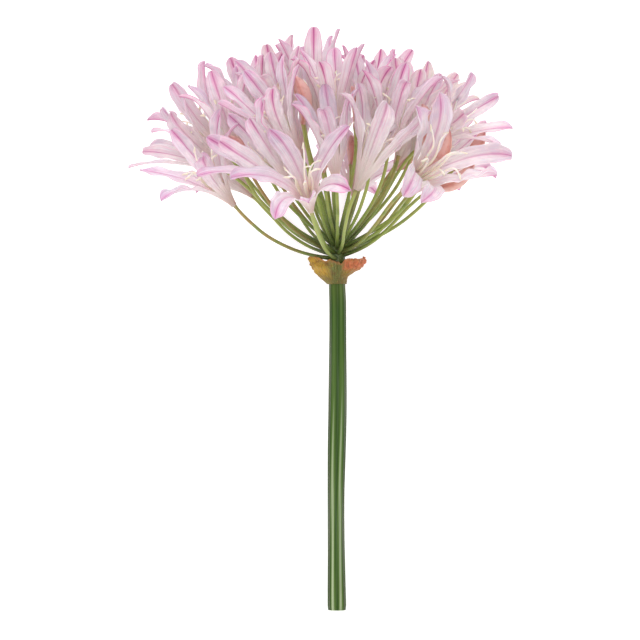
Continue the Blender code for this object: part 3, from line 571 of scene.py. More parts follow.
class Umbel:
    """Where every floret and bud of the head stands and how its lobes bend."""

    def __init__(self):
        rng = np.random.default_rng(SEED)
        rows = [*FRONT_FLORETS, *rear_florets(rng)]
        self.names, self.foot, self.axis, self.open, self.size, roll = standing(rows)
        self.bud_names, self.bud_foot, self.bud_axis, self.bud_size = standing(BUDS)
        self.yields = np.array([FIRM.get(name, 1.0) for name in self.names])
        self.side = unit(np.cross(UP, self.axis))
        self.rise = np.cross(self.axis, self.side)
        self.turn = np.radians(roll)[:, None] + np.arange(6) * math.tau / 6
        cosine, sine = np.cos(self.turn)[..., None], np.sin(self.turn)[..., None]
        self.radial = cosine * self.side[:, None] + sine * self.rise[:, None]
        each_lobe = (len(rows), 6)
        inner = np.where(np.arange(6) % 2, -1.0, 1.0) * math.radians(4)
        self.slope = LOBE_SLOPE * self.open[:, None] + np.zeros(each_lobe)
        self.flare = LOBE_FLARE * self.open[:, None] + inner + rng.normal(0, math.radians(9), each_lobe)
        self.swing = rng.normal(0, math.radians(7), each_lobe)
        self.length = LOBE_LENGTH * self.size[:, None] * rng.uniform(0.92, 1.08, each_lobe)
        self.twist = rng.normal(0, math.radians(14), each_lobe)
        self.bend = np.zeros((*each_lobe, 3))
        for name, leans in LEANING.items():
            self.bend[self.names.index(name)] = np.array(leans) * MM
        self.bow = np.zeros((len(rows) + len(BUDS), 3))

    def lobes(self, spans):
        """Middle lines of all lobes, cut in this many spans, and the directions along and across them."""
        t = (np.arange(spans) + 0.5) / spans
        slope = self.slope[..., None] + (self.flare - self.slope)[..., None] * t
        axis = self.axis[:, None, None]
        radial = self.radial[:, :, None]
        level = np.cross(self.axis[:, None], self.radial)[:, :, None]
        swing = (self.swing[..., None] * t)[..., None]
        ahead = np.cos(slope)[..., None] * axis + np.sin(slope)[..., None] * radial + swing * level
        step = unit(ahead) * (self.length / spans)[..., None, None]
        step = step + 2 * t[:, None] * self.bend[:, :, None] / spans
        step = unit(step) * (self.length / spans)[..., None, None]
        size = self.size[:, None, None]
        start = self.foot[:, None] + size * (TUBE_LENGTH * self.axis[:, None] + THROAT_RADIUS * self.radial)
        start = start[:, :, None]
        line = np.concatenate([start, start + np.cumsum(step, axis=2)], axis=2)
        along = np.concatenate([step[:, :, :1], (step[:, :, 1:] + step[:, :, :-1]) / 2, step[:, :, -1:]], axis=2)
        along = unit(along)
        across = unit(level - (level * along).sum(-1, keepdims=True) * along)
        twist = (self.twist[..., None] * np.linspace(0, 1, spans + 1) ** 1.5)[..., None]
        across = np.cos(twist) * across + np.sin(twist) * np.cross(along, across)
        return line, along, across

    def pedicel(self, steps):
        """Points along every pedicel, from inside the dome to just short of its floret or bud."""
        foot = np.concatenate([self.foot, self.bud_foot])
        axis = np.concatenate([self.axis, self.bud_axis])
        end = foot - axis * (SEAT_GAP + LOBE_THICKNESS / 2)
        out = foot * np.array([1.0, 0.0, 1.0])
        flat = unit(out)
        rise = np.arctan2(foot[:, 1], np.linalg.norm(out, axis=1))
        share = np.clip(rise - PEDICEL_LOW_RISE, 0, 1)[:, None]
        height = PEDICEL_ROOT_LOW + (PEDICEL_ROOT_HIGH - PEDICEL_ROOT_LOW) * share
        height = height + PEDICEL_ROOT_TIERS * (np.arange(len(foot)) % 3)[:, None]
        root = flat * DOME_RADIUS * PEDICEL_ROOT_OUT * (1 - share) + UP * height
        reach = np.linalg.norm(end - root, axis=1, keepdims=True)
        lift = np.maximum(rise - PEDICEL_ARCH * np.cos(rise), PEDICEL_LEAST_RISE)[:, None]
        leave = np.cos(lift) * flat + np.sin(lift) * UP
        near = root + leave * reach * PEDICEL_NEAR
        far = end - axis * reach * PEDICEL_FAR
        s = 1 - (1 - np.linspace(0, 1, steps + 1)[None, :, None]) ** PEDICEL_CLOSER
        root, near, far, end = (p[:, None] for p in (root, near, far, end))
        curve = (1 - s) ** 3 * root + 3 * (1 - s) ** 2 * s * near + 3 * (1 - s) * s**2 * far + s**3 * end
        return curve + bulge(s) * self.bow[:, None]

    def bud_line(self, steps):
        """Points along every bud's bowed middle."""
        s = np.linspace(0, 1, steps + 1)[None, :, None]
        reach = (BUD_LENGTH * self.bud_size)[:, None, None]
        outward = unit(self.bud_axis - UP * 0.3)[:, None]
        sag = BUD_BOW * self.bud_size[:, None, None] * np.sin(math.pi * s) * np.cross(outward, [0.0, 0.0, 1.0])
        return self.bud_foot[:, None] + self.bud_axis[:, None] * reach * s + sag


def lobe_half_width(t):
    """Half a lobe's width at t from its throat to its tip, as the balls across it take it."""
    shoulder = 0.56 + 0.44 * np.sin(np.clip(t / 0.62, 0, 1) * math.pi / 2)
    tip = np.clip(1 - (np.clip(t - 0.62, 0, 1) / 0.385) ** 1.7, 0, 1) ** 0.75
    return LOBE_HALF_WIDTH * shoulder * tip


def balls(umbel):
    """The balls that stand for every piece: place, radius, owner, lobe (-1 for none, -2 for a stalk), share along."""
    count, buds = len(umbel.names), len(umbel.bud_names)
    parts = []

    def stand(place, *facts):
        """Adds balls at these places; a fact given once for many balls is spread over them."""
        parts.append((place.reshape(-1, 3), *[np.broadcast_to(fact, place.shape[:-1]).ravel() for fact in facts]))

    line, _, across = umbel.lobes(CLEAR_STEPS)
    t = np.linspace(0, 1, CLEAR_STEPS + 1)[1:]
    width = (lobe_half_width(t) * CLEAR_EDGE)[:, None, None] * umbel.size[:, None, None, None, None]
    over = np.array([-1.0, 0.0, 1.0])[:, None]
    place = line[:, :, 1:, None] + across[:, :, 1:, None] * np.maximum(width, CLEAR_LEAST_WIDTH) * over
    stand(place, CLEAR_RADIUS, np.arange(count)[:, None, None, None], np.arange(6)[:, None, None], t[:, None])
    for along, radius in TUBE_BALLS:
        place = umbel.foot + umbel.axis * along * MM * umbel.size[:, None]
        stand(place, radius * MM, np.arange(count), -1, 0.0)
    line = umbel.bud_line(len(BUD_BALLS) - 1)
    for step, radius in enumerate(BUD_BALLS):
        stand(line[:, step], radius * MM, count + np.arange(buds), -1, 0.0)
    share = 1 - (1 - np.linspace(0, 1, STALK_STEPS + 1)[STALK_HIDDEN:]) ** PEDICEL_CLOSER
    place = umbel.pedicel(STALK_STEPS)[:, STALK_HIDDEN:]
    stand(place, STALK_BALL, np.arange(count + buds)[:, None], -2, share)
    return [np.concatenate(facts) for facts in zip(*parts)]


def hearts(umbel, place, owner, lobe):
    """For each ball the place that its piece should stay near, so that crossed pieces part the right way."""
    middle = np.concatenate([umbel.foot + umbel.axis * HEART_REACH, umbel.bud_line(2)[:, 1]])
    heart = np.where((lobe == -2)[:, None], place, middle[owner])
    petal = lobe >= 0
    heart[petal] += umbel.radial[owner[petal], lobe[petal]] * HEART_RADIUS
    return heart


def near_pairs(place, radius, owner, lobe, share):
    """Pairs of balls that lie near each other and may not touch."""
    small = place.astype(np.float32)
    square = (small**2).sum(1)
    apart = square[:, None] + square[None] - 2 * small @ small.T
    reach = (radius[:, None] + radius[None] + CLEAR_MARGIN).astype(np.float32)
    first, second = np.nonzero(np.triu(apart < reach**2, 1))
    same = owner[first] == owner[second]
    own_lobes = same & (lobe[first] >= 0) & (lobe[second] >= 0) & (lobe[first] != lobe[second])
    own_lobes &= (share[first] > OWN_LOBES_FROM) & (share[second] > OWN_LOBES_FROM)
    stalks = (lobe[first] == -2) & (lobe[second] == -2)
    keep = (~same | own_lobes) & ~stalks
    return first[keep], second[keep]


def grown_clear(umbel):
    """Shifts feet a little and bends lobes and pedicels, for a set number of rounds, to part pieces that cross each
    other or the floor.
    """
    count = len(umbel.names)
    sky = np.array([0.0, math.sin(LYING_TILT), math.cos(LYING_TILT)])
    start_foot, start_bud = umbel.foot.copy(), umbel.bud_foot.copy()
    for turn in range(CLEAR_ROUNDS):
        place, radius, owner, lobe, share = balls(umbel)
        if turn % CLEAR_REFRESH == 0:
            first, second = near_pairs(place, radius, owner, lobe, share)
        gap = place[first] - place[second]
        deep = radius[first] + radius[second] - np.linalg.norm(gap, axis=1)
        hit = deep > 0
        heart = hearts(umbel, place, owner, lobe)
        away = unit(gap[hit]) + HEART_PULL * unit(heart[first[hit]] - heart[second[hit]])
        push = unit(away) * (deep[hit] / 2)[:, None]
        move = np.zeros_like(place)
        np.add.at(move, first[hit], push)
        np.add.at(move, second[hit], -push)
        under = LOWEST - (place @ sky + TOP_HEIGHT) + np.where(lobe >= 0, 0.0, radius)
        move += np.clip(under, 0, None)[:, None] * sky * LIFT_GAIN
        petal = lobe >= 0
        bend = np.zeros_like(umbel.bend)
        np.add.at(bend, (owner[petal], lobe[petal]), move[petal] * (share[petal] ** 2)[:, None])
        umbel.bend = limited(umbel.bend + CLEAR_GAIN * bend / 3 * umbel.yields[:, None, None], MOST_BEND)
        rigid = lobe != -2
        shift = np.zeros((count + len(umbel.bud_names), 3))
        weight = np.where(petal, (1 - share) * FOOT_SHARE, 1.0)
        np.add.at(shift, owner[rigid], move[rigid] * weight[rigid, None])
        shift[:count] *= umbel.yields[:, None]
        umbel.foot = start_foot + limited(umbel.foot - start_foot + FOOT_GAIN * shift[:count], MOST_SHIFT)
        umbel.bud_foot = start_bud + limited(umbel.bud_foot - start_bud + FOOT_GAIN * shift[count:], MOST_SHIFT)
        stalk = lobe == -2
        bow = np.zeros_like(umbel.bow)
        np.add.at(bow, owner[stalk], move[stalk] * bulge(share)[stalk, None])
        umbel.bow = limited(umbel.bow + BOW_GAIN * bow, MOST_SHIFT)
    return umbel


umbel = grown_clear(Umbel())


def led_along(line, unit_points, radius, side=(0.0, 0.0, 1.0)):
    """A tube's corners led along a line; radius gives its radius from the height 0 to 1 and the turn round it."""
    line = np.asarray(line)
    along = unit(np.gradient(line, axis=0))
    first = np.zeros_like(line)
    first[0] = unit(np.asarray(side) - np.dot(side, along[0]) * along[0])
    for k in range(1, len(line)):
        first[k] = unit(first[k - 1] - np.dot(first[k - 1], along[k]) * along[k])
    second = np.cross(along, first)
    height = np.clip(unit_points[:, 2], 0, 1)
    at = height * (len(line) - 1)
    low = np.minimum(at.astype(int), len(line) - 2)
    share = (at - low)[:, None]
    centre, one, two = (p[low] * (1 - share) + p[low + 1] * share for p in (line, first, second))
    turn = np.arctan2(unit_points[:, 1], unit_points[:, 0])
    reach = np.hypot(unit_points[:, 0], unit_points[:, 1]) * radius(height, turn)
    return centre + reach[:, None] * (np.cos(turn)[:, None] * one + np.sin(turn)[:, None] * two)


def copied(template):
    """A copy of a piece with its own mesh."""
    made = template.copy()
    made.data = template.data.copy()
    bpy.context.scene.collection.objects.link(made)
    return made


def joined(*pieces):
    """These pieces made one."""
    chosen(*pieces)
    bpy.ops.object.join()
    return bpy.context.object


def pedicel_skin():
    """Fleshy stalk skin: yellowish green, a few stalks browned by the sun; the dark root is painted shade."""
    mix = Recipe("pedicel skin", 0.40, Subsurface_Weight=0.15, Subsurface_Scale=0.0015)
    along, blotch, fine = mix.own("along"), mix.grain(150, 3), mix.grain(1500, 3)
    # Dark at the root: painted shade where the stalks crowd into the dome
    green = mix.ramp(along, (0.0, (44, 58, 24)), (0.08, (84, 102, 40)), (0.25, (132, 148, 62)), (0.60, (158, 168, 84)))
    browned = mix.ramp(along, (0.1, (96, 86, 40)), (0.5, (150, 108, 62)), (1.0, (172, 110, 80)))
    share = mix.math("ADD", mix.own("tone"), mix.math("MULTIPLY_ADD", blotch, 0.5, -0.25))
    body = mix.over(
        green,
        (share, (0.62, 0.0), (0.95, 0.8), browned),
        (along, (0.88, 0.0), (1.0, 0.55), (176, 146, 104)),
        (blotch, (0.30, 0.5), (0.46, 0.0), (92, 112, 52)),
        (fine, (0.48, 0.0), (0.75, 0.45), (160, 170, 96)),
    )
    return mix.finished(body, fine, 0.0003)


def pedicel_radius(size):
    """A pedicel's radius along it: a flared root, a slim middle and a swollen end as wide as its flower's foot."""

    def radius(height, turn):
        root = 0.5 * np.exp(-((height / 0.06) ** 2))
        neck = 0.22 * size * np.clip((height - 0.90) / 0.08, 0, 1) ** 2
        return PEDICEL_RADIUS * (1 + root + neck + 0.03 * np.cos(3 * turn + 9 * height))

    return radius


stalk = add_tube(PEDICEL_SIDES, PEDICEL_CUTS)
unit_points = points_of(stalk)
rng = np.random.default_rng(SEED + 1)
sizes = np.concatenate([umbel.size, umbel.bud_size])
axes = np.concatenate([umbel.axis, umbel.bud_axis])
stalks = []
for line, size, axis in zip(umbel.pedicel(40), sizes, axes):
    line[-1] += axis * PEDICEL_TIP
    grown = copied(stalk)
    wander = PEDICEL_WANDER * np.sin(np.linspace(0, 3 * math.pi, len(line)) + rng.uniform(0, 6)) ** 2
    line = line + np.outer(wander * np.sin(np.linspace(0, math.pi, len(line))), [0.6, 0.2, 0.7])
    set_points(grown, laid(led_along(line, unit_points, pedicel_radius(size))))
    carry(grown, "along", unit_points[:, 2])
    carry(grown, "tone", rng.uniform(0, 1) ** 3.5)
    stalks.append(grown)
bpy.data.objects.remove(stalk)

bpy.ops.mesh.primitive_uv_sphere_add(segments=48, ring_count=28, radius=1, location=(0, 0, 0))
dome = bpy.context.object
x, z, y = points_of(dome).T
fuller = DOME_RADIUS * (1 + y * y) ** 0.5
centre = np.stack([x * fuller, SCAPE_TOP + SEAT_GAP + (y + 1) / 2 * DOME_HEIGHT, -z * fuller], axis=1)
set_points(dome, laid(centre + unit(centre) * wrinkle(centre, DOME_LUMPS)[:, None]))
# The dome takes the stalks' dark root colour, their painted shade
carry(dome, "along", 0.05)
carry(dome, "tone", 0.2)
pedicel_green = pedicel_skin()
for piece in (dome, *stalks):
    piece.data.materials.append(pedicel_green)
named(joined(dome, *stalks), "pedicels_and_dome", "pedicel", "pedicels")

# The open florets
# Each is a funnel of six thin tepals grown together at the foot: pale lilac to pink, a few paled to cream, with a
# magenta stripe down each middle, a pinkish rim and a peach throat. The pink of the upper florets is also painted
# much lighter, a painted light that lifts the shade among them. Six curved stamens and a style stand in its mouth.
SHEET_THICKNESS = 0.42 * MM
SHEET_COLUMNS = (-1.0, -0.93, -0.74, -0.46, -0.16, 0.0, 0.16, 0.46, 0.74, 0.93, 1.0)
TUBE_ROWS = 8
LOBE_SPANS = 40
FOOT_RADIUS = 1.25 * MM
LOBE_CUP = 0.9 * MM
LOBE_GROOVE = 0.22 * MM
LOBE_POINT = 0.3 * MM
TUBE_FLUTE = 0.16 * MM
PAPER_CREASE = 0.14 * MM
LOBE_ROWS = (*np.linspace(0.035, 0.80, 20), 0.835, 0.87, 0.90, 0.925, 0.948, 0.966, 0.98, 0.99, 0.996)
FILAMENT_RADIUS = 0.58 * MM
FILAMENT_REACH = 21.5 * MM
FILAMENT_SPREAD = 6.5 * MM
CURL_REACH = 6.5 * MM
STAMEN_ROOT_DEPTH = 1.5 * MM
STYLE_REACH = 23.5 * MM
ANTHER_LENGTH = 3.2 * MM
ANTHER_DEPTH = 0.62 * MM
ANTHER_WIDTH = 0.55 * MM

# Florets that have paled to cream, and how far
CREAMY = {
    "upper_right_outer": 0.95, "upper_right_inner": 0.55, "top_left_back": 0.50, "front_side": 0.40,
    "right_front": 0.35, "right_high": 0.30, "top_left": 0.30, "left_high": 0.25,
}


def tepal_skin(name, low, pale, flushed_and_painted_lighter, stripe):
    """Petal skin: pale or pinker by tone, paled to cream on some, with a thin midrib, fine long veins and a rim.

    The pinker colours are also much lighter, a painted light that lifts the shade on the upper florets.
    """
    mix = Recipe(name, 0.55, Subsurface_Weight=0.85, Subsurface_Scale=0.0024, Subsurface_Radius=(1.0, 0.80, 0.88))
    place = mix.add("ShaderNodeUVMap", uv_map="UVMap").outputs[0]
    split = mix.add("ShaderNodeSeparateXYZ", place).outputs
    aside = mix.math("ABSOLUTE", mix.math("MULTIPLY_ADD", split[0], 2.0, -1.0))
    along, tone = split[1], mix.own("tone")
    moved = mix.add("ShaderNodeVectorMath", place, mix.own("shift"), operation="ADD").outputs[0]
    streak = mix.grain(1.0, 4, (0.040, 0.30, 1.0), places=moved)
    vein = mix.grain(1.0, 2, (0.020, 0.90, 1.0), places=moved)
    cloud = mix.grain(1.0, 3, (0.40, 0.12, 1.0), places=moved)
    light = mix.ramp(along, *zip((0.0, 0.26, 0.42, 0.80, 1.0), (*low, *pale)))
    # The pinker colours are painted lighter than the pale ones: painted light on the upper florets
    deep = mix.ramp(along, *zip((0.0, 0.24, 0.40, 0.80, 1.0), (*low, *flushed_and_painted_lighter)))
    flush_and_painted_light = mix.math("ADD", tone, mix.math("MULTIPLY_ADD", cloud, 1.6, -0.80), clamp=True)
    creamy = mix.times(mix.own("cream"), mix.ramp(cloud, (0.38, 0.35), (0.58, 0.95)))
    tint = mix.mix(creamy, mix.mix(flush_and_painted_light, light, deep), (238, 226, 208))
    tint = mix.over(tint, (streak, (0.54, 0.0), (0.74, 0.55), flushed_and_painted_lighter[2]))
    upper = mix.ramp(along, (0.30, 0.2), (0.60, 1.0))
    tint = mix.mix(mix.times(mix.ramp(streak, (0.28, 0.65), (0.48, 0.0)), upper), tint, (230, 218, 232))
    tint = mix.over(tint, (vein, (0.51, 0.0), (0.66, 0.36), stripe))
    tint = mix.mix(mix.times(mix.ramp(vein, (0.34, 0.50), (0.46, 0.0)), upper), tint, (236, 224, 234))
    width = mix.math("ADD", aside, mix.math("MULTIPLY_ADD", streak, 0.12, -0.06))
    tips = mix.ramp(along, (0.72, 0.0), (1.0, 1.0))
    halo = mix.ramp(mix.math("SUBTRACT", width, mix.times(tips, 0.25)), (0.04, 1.0), (0.30, 0.0))
    line = mix.ramp(mix.math("SUBTRACT", width, mix.times(tips, 0.06)), (0.01, 1.0), (0.11, 0.0))
    reach = mix.ramp(along, (0.28, 0.0), (0.50, 0.55), (0.90, 1.0))
    strength = mix.times(reach, mix.math("MULTIPLY_ADD", tone, 0.55, 0.50))
    tint = mix.mix(mix.times(halo, strength, 0.55), tint, stripe)
    tint = mix.mix(mix.times(line, strength, 0.85), tint, (176, 62, 132))
    rim = mix.times(mix.ramp(aside, (0.90, 0.0), (1.0, 0.8)), mix.ramp(along, (0.45, 0.0), (0.85, 1.0)))
    tint = mix.mix(mix.times(rim, mix.math("ADD", tone, 0.15)), tint, stripe)
    pleats = mix.math("SINE", mix.math("MULTIPLY_ADD", aside, 15.0, mix.times(streak, 5.0)))
    height = mix.math("ADD", vein, mix.times(line, 0.8))
    return mix.finished(tint, mix.math("MULTIPLY_ADD", pleats, 0.30, height), 0.0004, 0.9)


def thread_skin():
    """Stamen thread: creamy white, a little warmer towards its tip."""
    mix = Recipe("filament", 0.45, Subsurface_Weight=0.3, Subsurface_Scale=0.001)
    body = mix.ramp(mix.own("along"), (0.0, (244, 234, 212)), (1.0, (250, 240, 230)))
    return mix.finished(mix.over(body, (mix.grain(1800, 2), (0.45, 0.0), (0.75, 0.3), (240, 222, 200))))


def pollen_skin():
    """Anther: dry, grainy, cream with straw coloured grains."""
    mix = Recipe("anther", 0.8)
    fine = mix.grain(4200, 2)
    return mix.finished(mix.ramp(fine, (0.35, (240, 222, 192)), (0.62, (250, 242, 226))), fine, 0.0002)


columns = len(SHEET_COLUMNS)
lift = np.concatenate([np.linspace(0, TUBE_LENGTH, TUBE_ROWS + 1), TUBE_LENGTH + LOBE_LENGTH * np.array(LOBE_ROWS)])
lift = lift / (TUBE_LENGTH + LOBE_LENGTH)
THROAT = TUBE_LENGTH / (TUBE_LENGTH + LOBE_LENGTH)
strips = []
for lobe in range(6):
    bpy.ops.mesh.primitive_grid_add(x_subdivisions=columns - 1, y_subdivisions=len(lift) - 1, size=2)
    strip = bpy.context.object
    flat = points_of(strip)
    column = np.rint((flat[:, 0] + 1) / 2 * (columns - 1)).astype(int)
    across = np.array(SHEET_COLUMNS)[column]
    along = lift[np.rint((flat[:, 1] + 1) / 2 * (len(lift) - 1)).astype(int)]
    angle = (2 * lobe + across * np.where(along > THROAT + 0.001, 0.98, 1.0)) * math.pi / 6
    set_points(strip, np.stack([np.cos(angle), np.sin(angle), along], axis=1))
    corner = np.empty(len(strip.data.loops), dtype=int)
    strip.data.loops.foreach_get("vertex_index", corner)
    strip.data.uv_layers[0].name = "UVMap"
    strip.data.uv_layers[0].data.foreach_set("uv", np.stack([(across + 1) / 2, along], axis=1)[corner].ravel())
    carry(strip, "lobe", lobe)
    carry(strip, "across", across)
    carry(strip, "along", along)
    strips.append(strip)
tepals = joined(*strips)
bpy.ops.object.mode_set(mode="EDIT")
bpy.ops.mesh.select_all(action="SELECT")
bpy.ops.mesh.remove_doubles(threshold=0.001)
bpy.ops.object.mode_set(mode="OBJECT")


def carried(piece, name):
    """The numbers that a piece's corners carry under this name."""
    values = np.empty(len(piece.data.vertices))
    piece.data.attributes[name].data.foreach_get("value", values)
    return values


sheet_lobe = np.rint(carried(tepals, "lobe")).astype(int)
sheet_across, sheet_along = carried(tepals, "across"), carried(tepals, "along")
# Per side: throat colours, pale colours, pinker colours painted lighter as painted light, and the stripe
for side, *colours in (
    (
        "back",
        ((236, 186, 168), (244, 208, 202)),
        ((220, 200, 203), (203, 188, 197), (200, 168, 187)),
        ((250, 228, 228), (250, 225, 228), (243, 192, 209)),
        (216, 122, 166),
    ),
    (
        "face",
        ((246, 216, 192), (248, 212, 206)),
        ((214, 198, 204), (194, 185, 198), (190, 165, 190)),
        ((250, 228, 232), (250, 224, 230), (241, 188, 210)),
        (212, 108, 166),
    ),
):
    tepals.data.materials.append(tepal_skin("tepal " + side, *colours))

lobe_lines = umbel.lobes(LOBE_SPANS)
rng = np.random.default_rng(SEED + 2)
lobe_count = (len(umbel.names), 6)
wave_phase = rng.uniform(0, 1, lobe_count)
wave_turns = rng.uniform(1.3, 3.4, lobe_count)
wave_depth = rng.uniform(0.4, 1.3, lobe_count) * MM
lobe_fold = rng.uniform(0.6, 2.9, lobe_count) * MM
lobe_curl = rng.normal(-1.2, 1.3, lobe_count) * MM
lobe_width = rng.uniform(0.92, 1.08, lobe_count)


def half_width(t):
    """Half a tepal's width at t from its throat to its rounded tip."""
    shoulder = 0.62 + 0.40 * np.sin(np.clip(t / 0.66, 0, 1) * math.pi / 2)
    return LOBE_HALF_WIDTH * shoulder * np.clip(1 - (np.clip(t - 0.68, 0, 1) / 0.321) ** 2.4, 0.01, 1) ** 0.52


def floret_sheet(i):
    """Where the corners of the tepals lie in floret i."""
    size, axis = umbel.size[i], umbel.axis[i]
    lobe, c = sheet_lobe, sheet_across
    x = np.clip(sheet_along / THROAT, 0, 1)
    angle = umbel.turn[i][lobe] + c * math.pi / 6
    out = np.cos(angle)[:, None] * umbel.side[i] + np.sin(angle)[:, None] * umbel.rise[i]
    flute = TUBE_FLUTE * np.cos(math.pi * c) * np.sin(math.pi * x)
    radius = FOOT_RADIUS + (THROAT_RADIUS - FOOT_RADIUS) * x**1.35 + flute
    tube = umbel.foot[i] + size * (TUBE_LENGTH * x[:, None] * axis + radius[:, None] * out)
    t = np.clip((sheet_along - THROAT) / (1 - THROAT), 0, 1)
    at = t * LOBE_SPANS
    low = np.minimum(at.astype(int), LOBE_SPANS - 1)
    share = (at - low)[:, None]
    middle, ahead, level = (p[i][lobe, low] * (1 - share) + p[i][lobe, low + 1] * share for p in lobe_lines)
    inward = np.cross(ahead, level)
    arc = c * math.pi / 6
    radial = umbel.radial[i][lobe]
    round_offset = THROAT_RADIUS * size * (np.cos(arc)[:, None] - 1) * radial
    round_offset = round_offset + THROAT_RADIUS * size * np.sin(arc)[:, None] * np.cross(axis, radial)
    wide = half_width(t) * size * np.where(lobe % 2, 1.05, 0.95) * lobe_width[i][lobe]
    phase = wave_phase[i][lobe] + np.where(c > 0, 0.35, 0.0)
    swell = wave_depth[i][lobe] * np.sin(math.tau * (wave_turns[i][lobe] * t + phase))
    swell = swell * np.abs(c) ** 2.5 * np.clip(t * 2.5, 0, 1)
    groove = -LOBE_GROOVE * np.exp(-((c / 0.13) ** 2)) * np.clip(t * 4, 0, 1)
    curl = lobe_curl[i][lobe] * np.clip((t - 0.66) / 0.34, 0, 1) ** 2
    cup = (LOBE_CUP * (1 - t) + lobe_fold[i][lobe] * t) * size
    depth = cup * np.abs(c) ** 1.25 * np.sqrt(np.clip(wide / LOBE_HALF_WIDTH, 0, 1)) + swell + groove + curl
    fine = np.sin(37 * t + 5 * phase) * np.sin(3 * c + 11 * t + 9 * phase)
    depth = depth + PAPER_CREASE * fine * np.abs(c) * np.clip(t * 3, 0, 1)
    wide = wide * (1 + 0.035 * np.sin(29 * t + 40 * phase) * np.abs(c) ** 4)
    flat_offset = level * (c * wide)[:, None] + inward * depth[:, None]
    blend = np.clip(t / 0.2, 0, 1)[:, None]
    blend = blend * blend * (3 - 2 * blend)
    lobes = middle + (1 - blend) * round_offset + blend * flat_offset
    lobes += ahead * (LOBE_POINT * size * (1 - c**2) * np.clip((t - 0.93) / 0.07, 0, 1) ** 2)[:, None]
    return np.where((sheet_along > THROAT + 0.0005)[:, None], lobes, tube)


thread = add_tube(6, 13)
thread_points = points_of(thread)
bpy.ops.mesh.primitive_uv_sphere_add(segments=8, ring_count=6, radius=1, location=(0, 0, 0))
anther = bpy.context.object
anther_points = points_of(anther)
filament_skin, anther_skin = thread_skin(), pollen_skin()
thread.data.materials.append(filament_skin)
anther.data.materials.append(anther_skin)


def stamen(i, turn, start, reach, radius, spread, headed):
    """One thread standing in floret i, spread outwards and curled at its end, and its anther if it is headed."""
    size, axis = umbel.size[i], umbel.axis[i]
    out = math.cos(turn) * umbel.side[i] + math.sin(turn) * umbel.rise[i]
    s = np.linspace(0, 1, 19)[:, None]
    curl = unit(rng.normal(0, 1, 3) + out * 0.6)
    begin = umbel.foot[i] + size * (axis * start[0] + out * start[1])
    line = begin + size * (axis * reach * (s - 0.10 * s**4) + out * spread * s**1.7)
    hook = unit(out - axis * 0.7)
    line = line + size * CURL_REACH * (curl * 0.45 * np.sin(math.pi * 1.8 * s) * s + unit(curl + hook) * 0.8 * s**4)
    grown = copied(thread)
    set_points(grown, led_along(line, thread_points, lambda height, turn: radius * size * (1 - 0.35 * height)))
    carry(grown, "along", thread_points[:, 2])
    made = [grown]
    if headed:
        head = copied(anther)
        ahead = unit(line[-1] - line[-3])
        flat = unit(np.cross(ahead, [0.3, 0.5, 0.8]))
        tall = np.cross(flat, ahead)
        x, y, z = anther_points.T
        length = ANTHER_LENGTH / 2 * size
        bent = (flat + ahead * 0.5) * 0.25 * length
        centre = line[-1] + np.outer(z * length, unit(ahead + flat * 0.3)) - np.outer(z * z, bent)
        set_points(head, centre + np.outer(x * ANTHER_DEPTH, tall) + np.outer(y * ANTHER_WIDTH, unit(flat - ahead)))
        made.append(head)
    return made


for i, name in enumerate(umbel.names):
    petals = copied(tepals)
    set_points(petals, laid(floret_sheet(i)))
    # Upper florets get more of the pinker colours: a real flush, plus painted light that lifts their shade
    flush_and_painted_light = 0.10 + 0.50 * np.clip((umbel.foot[i][1] - 40 * MM) / (22 * MM), 0, 1) + rng.uniform(-0.26, 0.38)
    cream = CREAMY.get(name, 0.0)
    carry(petals, "cream", cream)
    carry(petals, "tone", np.clip(flush_and_painted_light - 0.4 * cream + rng.normal(0, 0.24, 6), 0, 1)[sheet_lobe])
    carry(petals, "shift", (rng.uniform(0, 40, 6) + 7 * i)[sheet_lobe])
    applied(petals, "SOLIDIFY", thickness=SHEET_THICKNESS, offset=0.0, material_offset=1)
    threads = []
    for k in range(6):
        turn = umbel.turn[i][k] - math.pi / 12 + rng.uniform(-0.3, 0.3)
        reach = FILAMENT_REACH * rng.uniform(0.80, 1.12)
        spread = FILAMENT_SPREAD * rng.uniform(0.2, 1.0)
        place = (TUBE_LENGTH - STAMEN_ROOT_DEPTH, rng.uniform(2.4, 3.2) * MM)
        threads += stamen(i, turn, place, reach, FILAMENT_RADIUS, spread, True)
    reach = STYLE_REACH + TUBE_LENGTH * 0.6
    threads += stamen(i, 0.0, (TUBE_LENGTH * 0.4, 0.0), reach, FILAMENT_RADIUS * 0.9, FILAMENT_SPREAD * 0.3, False)
    for piece in threads:
        set_points(piece, laid(points_of(piece)))
    named(joined(petals, *threads), "open_floret_" + name, "petal", "floret_" + name)
for template in (tepals, thread, anther):
    bpy.data.objects.remove(template)

# The buds
# Closed florets: bowed spindles whose six tepals are still furled, so three shallow keels and three seams run up
# them. They are waxy, coral at the foot and pinker at the tip.
BUD_RADIUS = 3.4 * MM
BUD_SIDES = 36
BUD_CUTS = 35
BUD_PROFILE = ((0.0, 0.36), (0.08, 0.42), (0.2, 0.66), (0.36, 0.90), (0.52, 1.0), (0.68, 0.94), (0.82, 0.72),
               (0.92, 0.46), (0.975, 0.24), (1.0, 0.10))


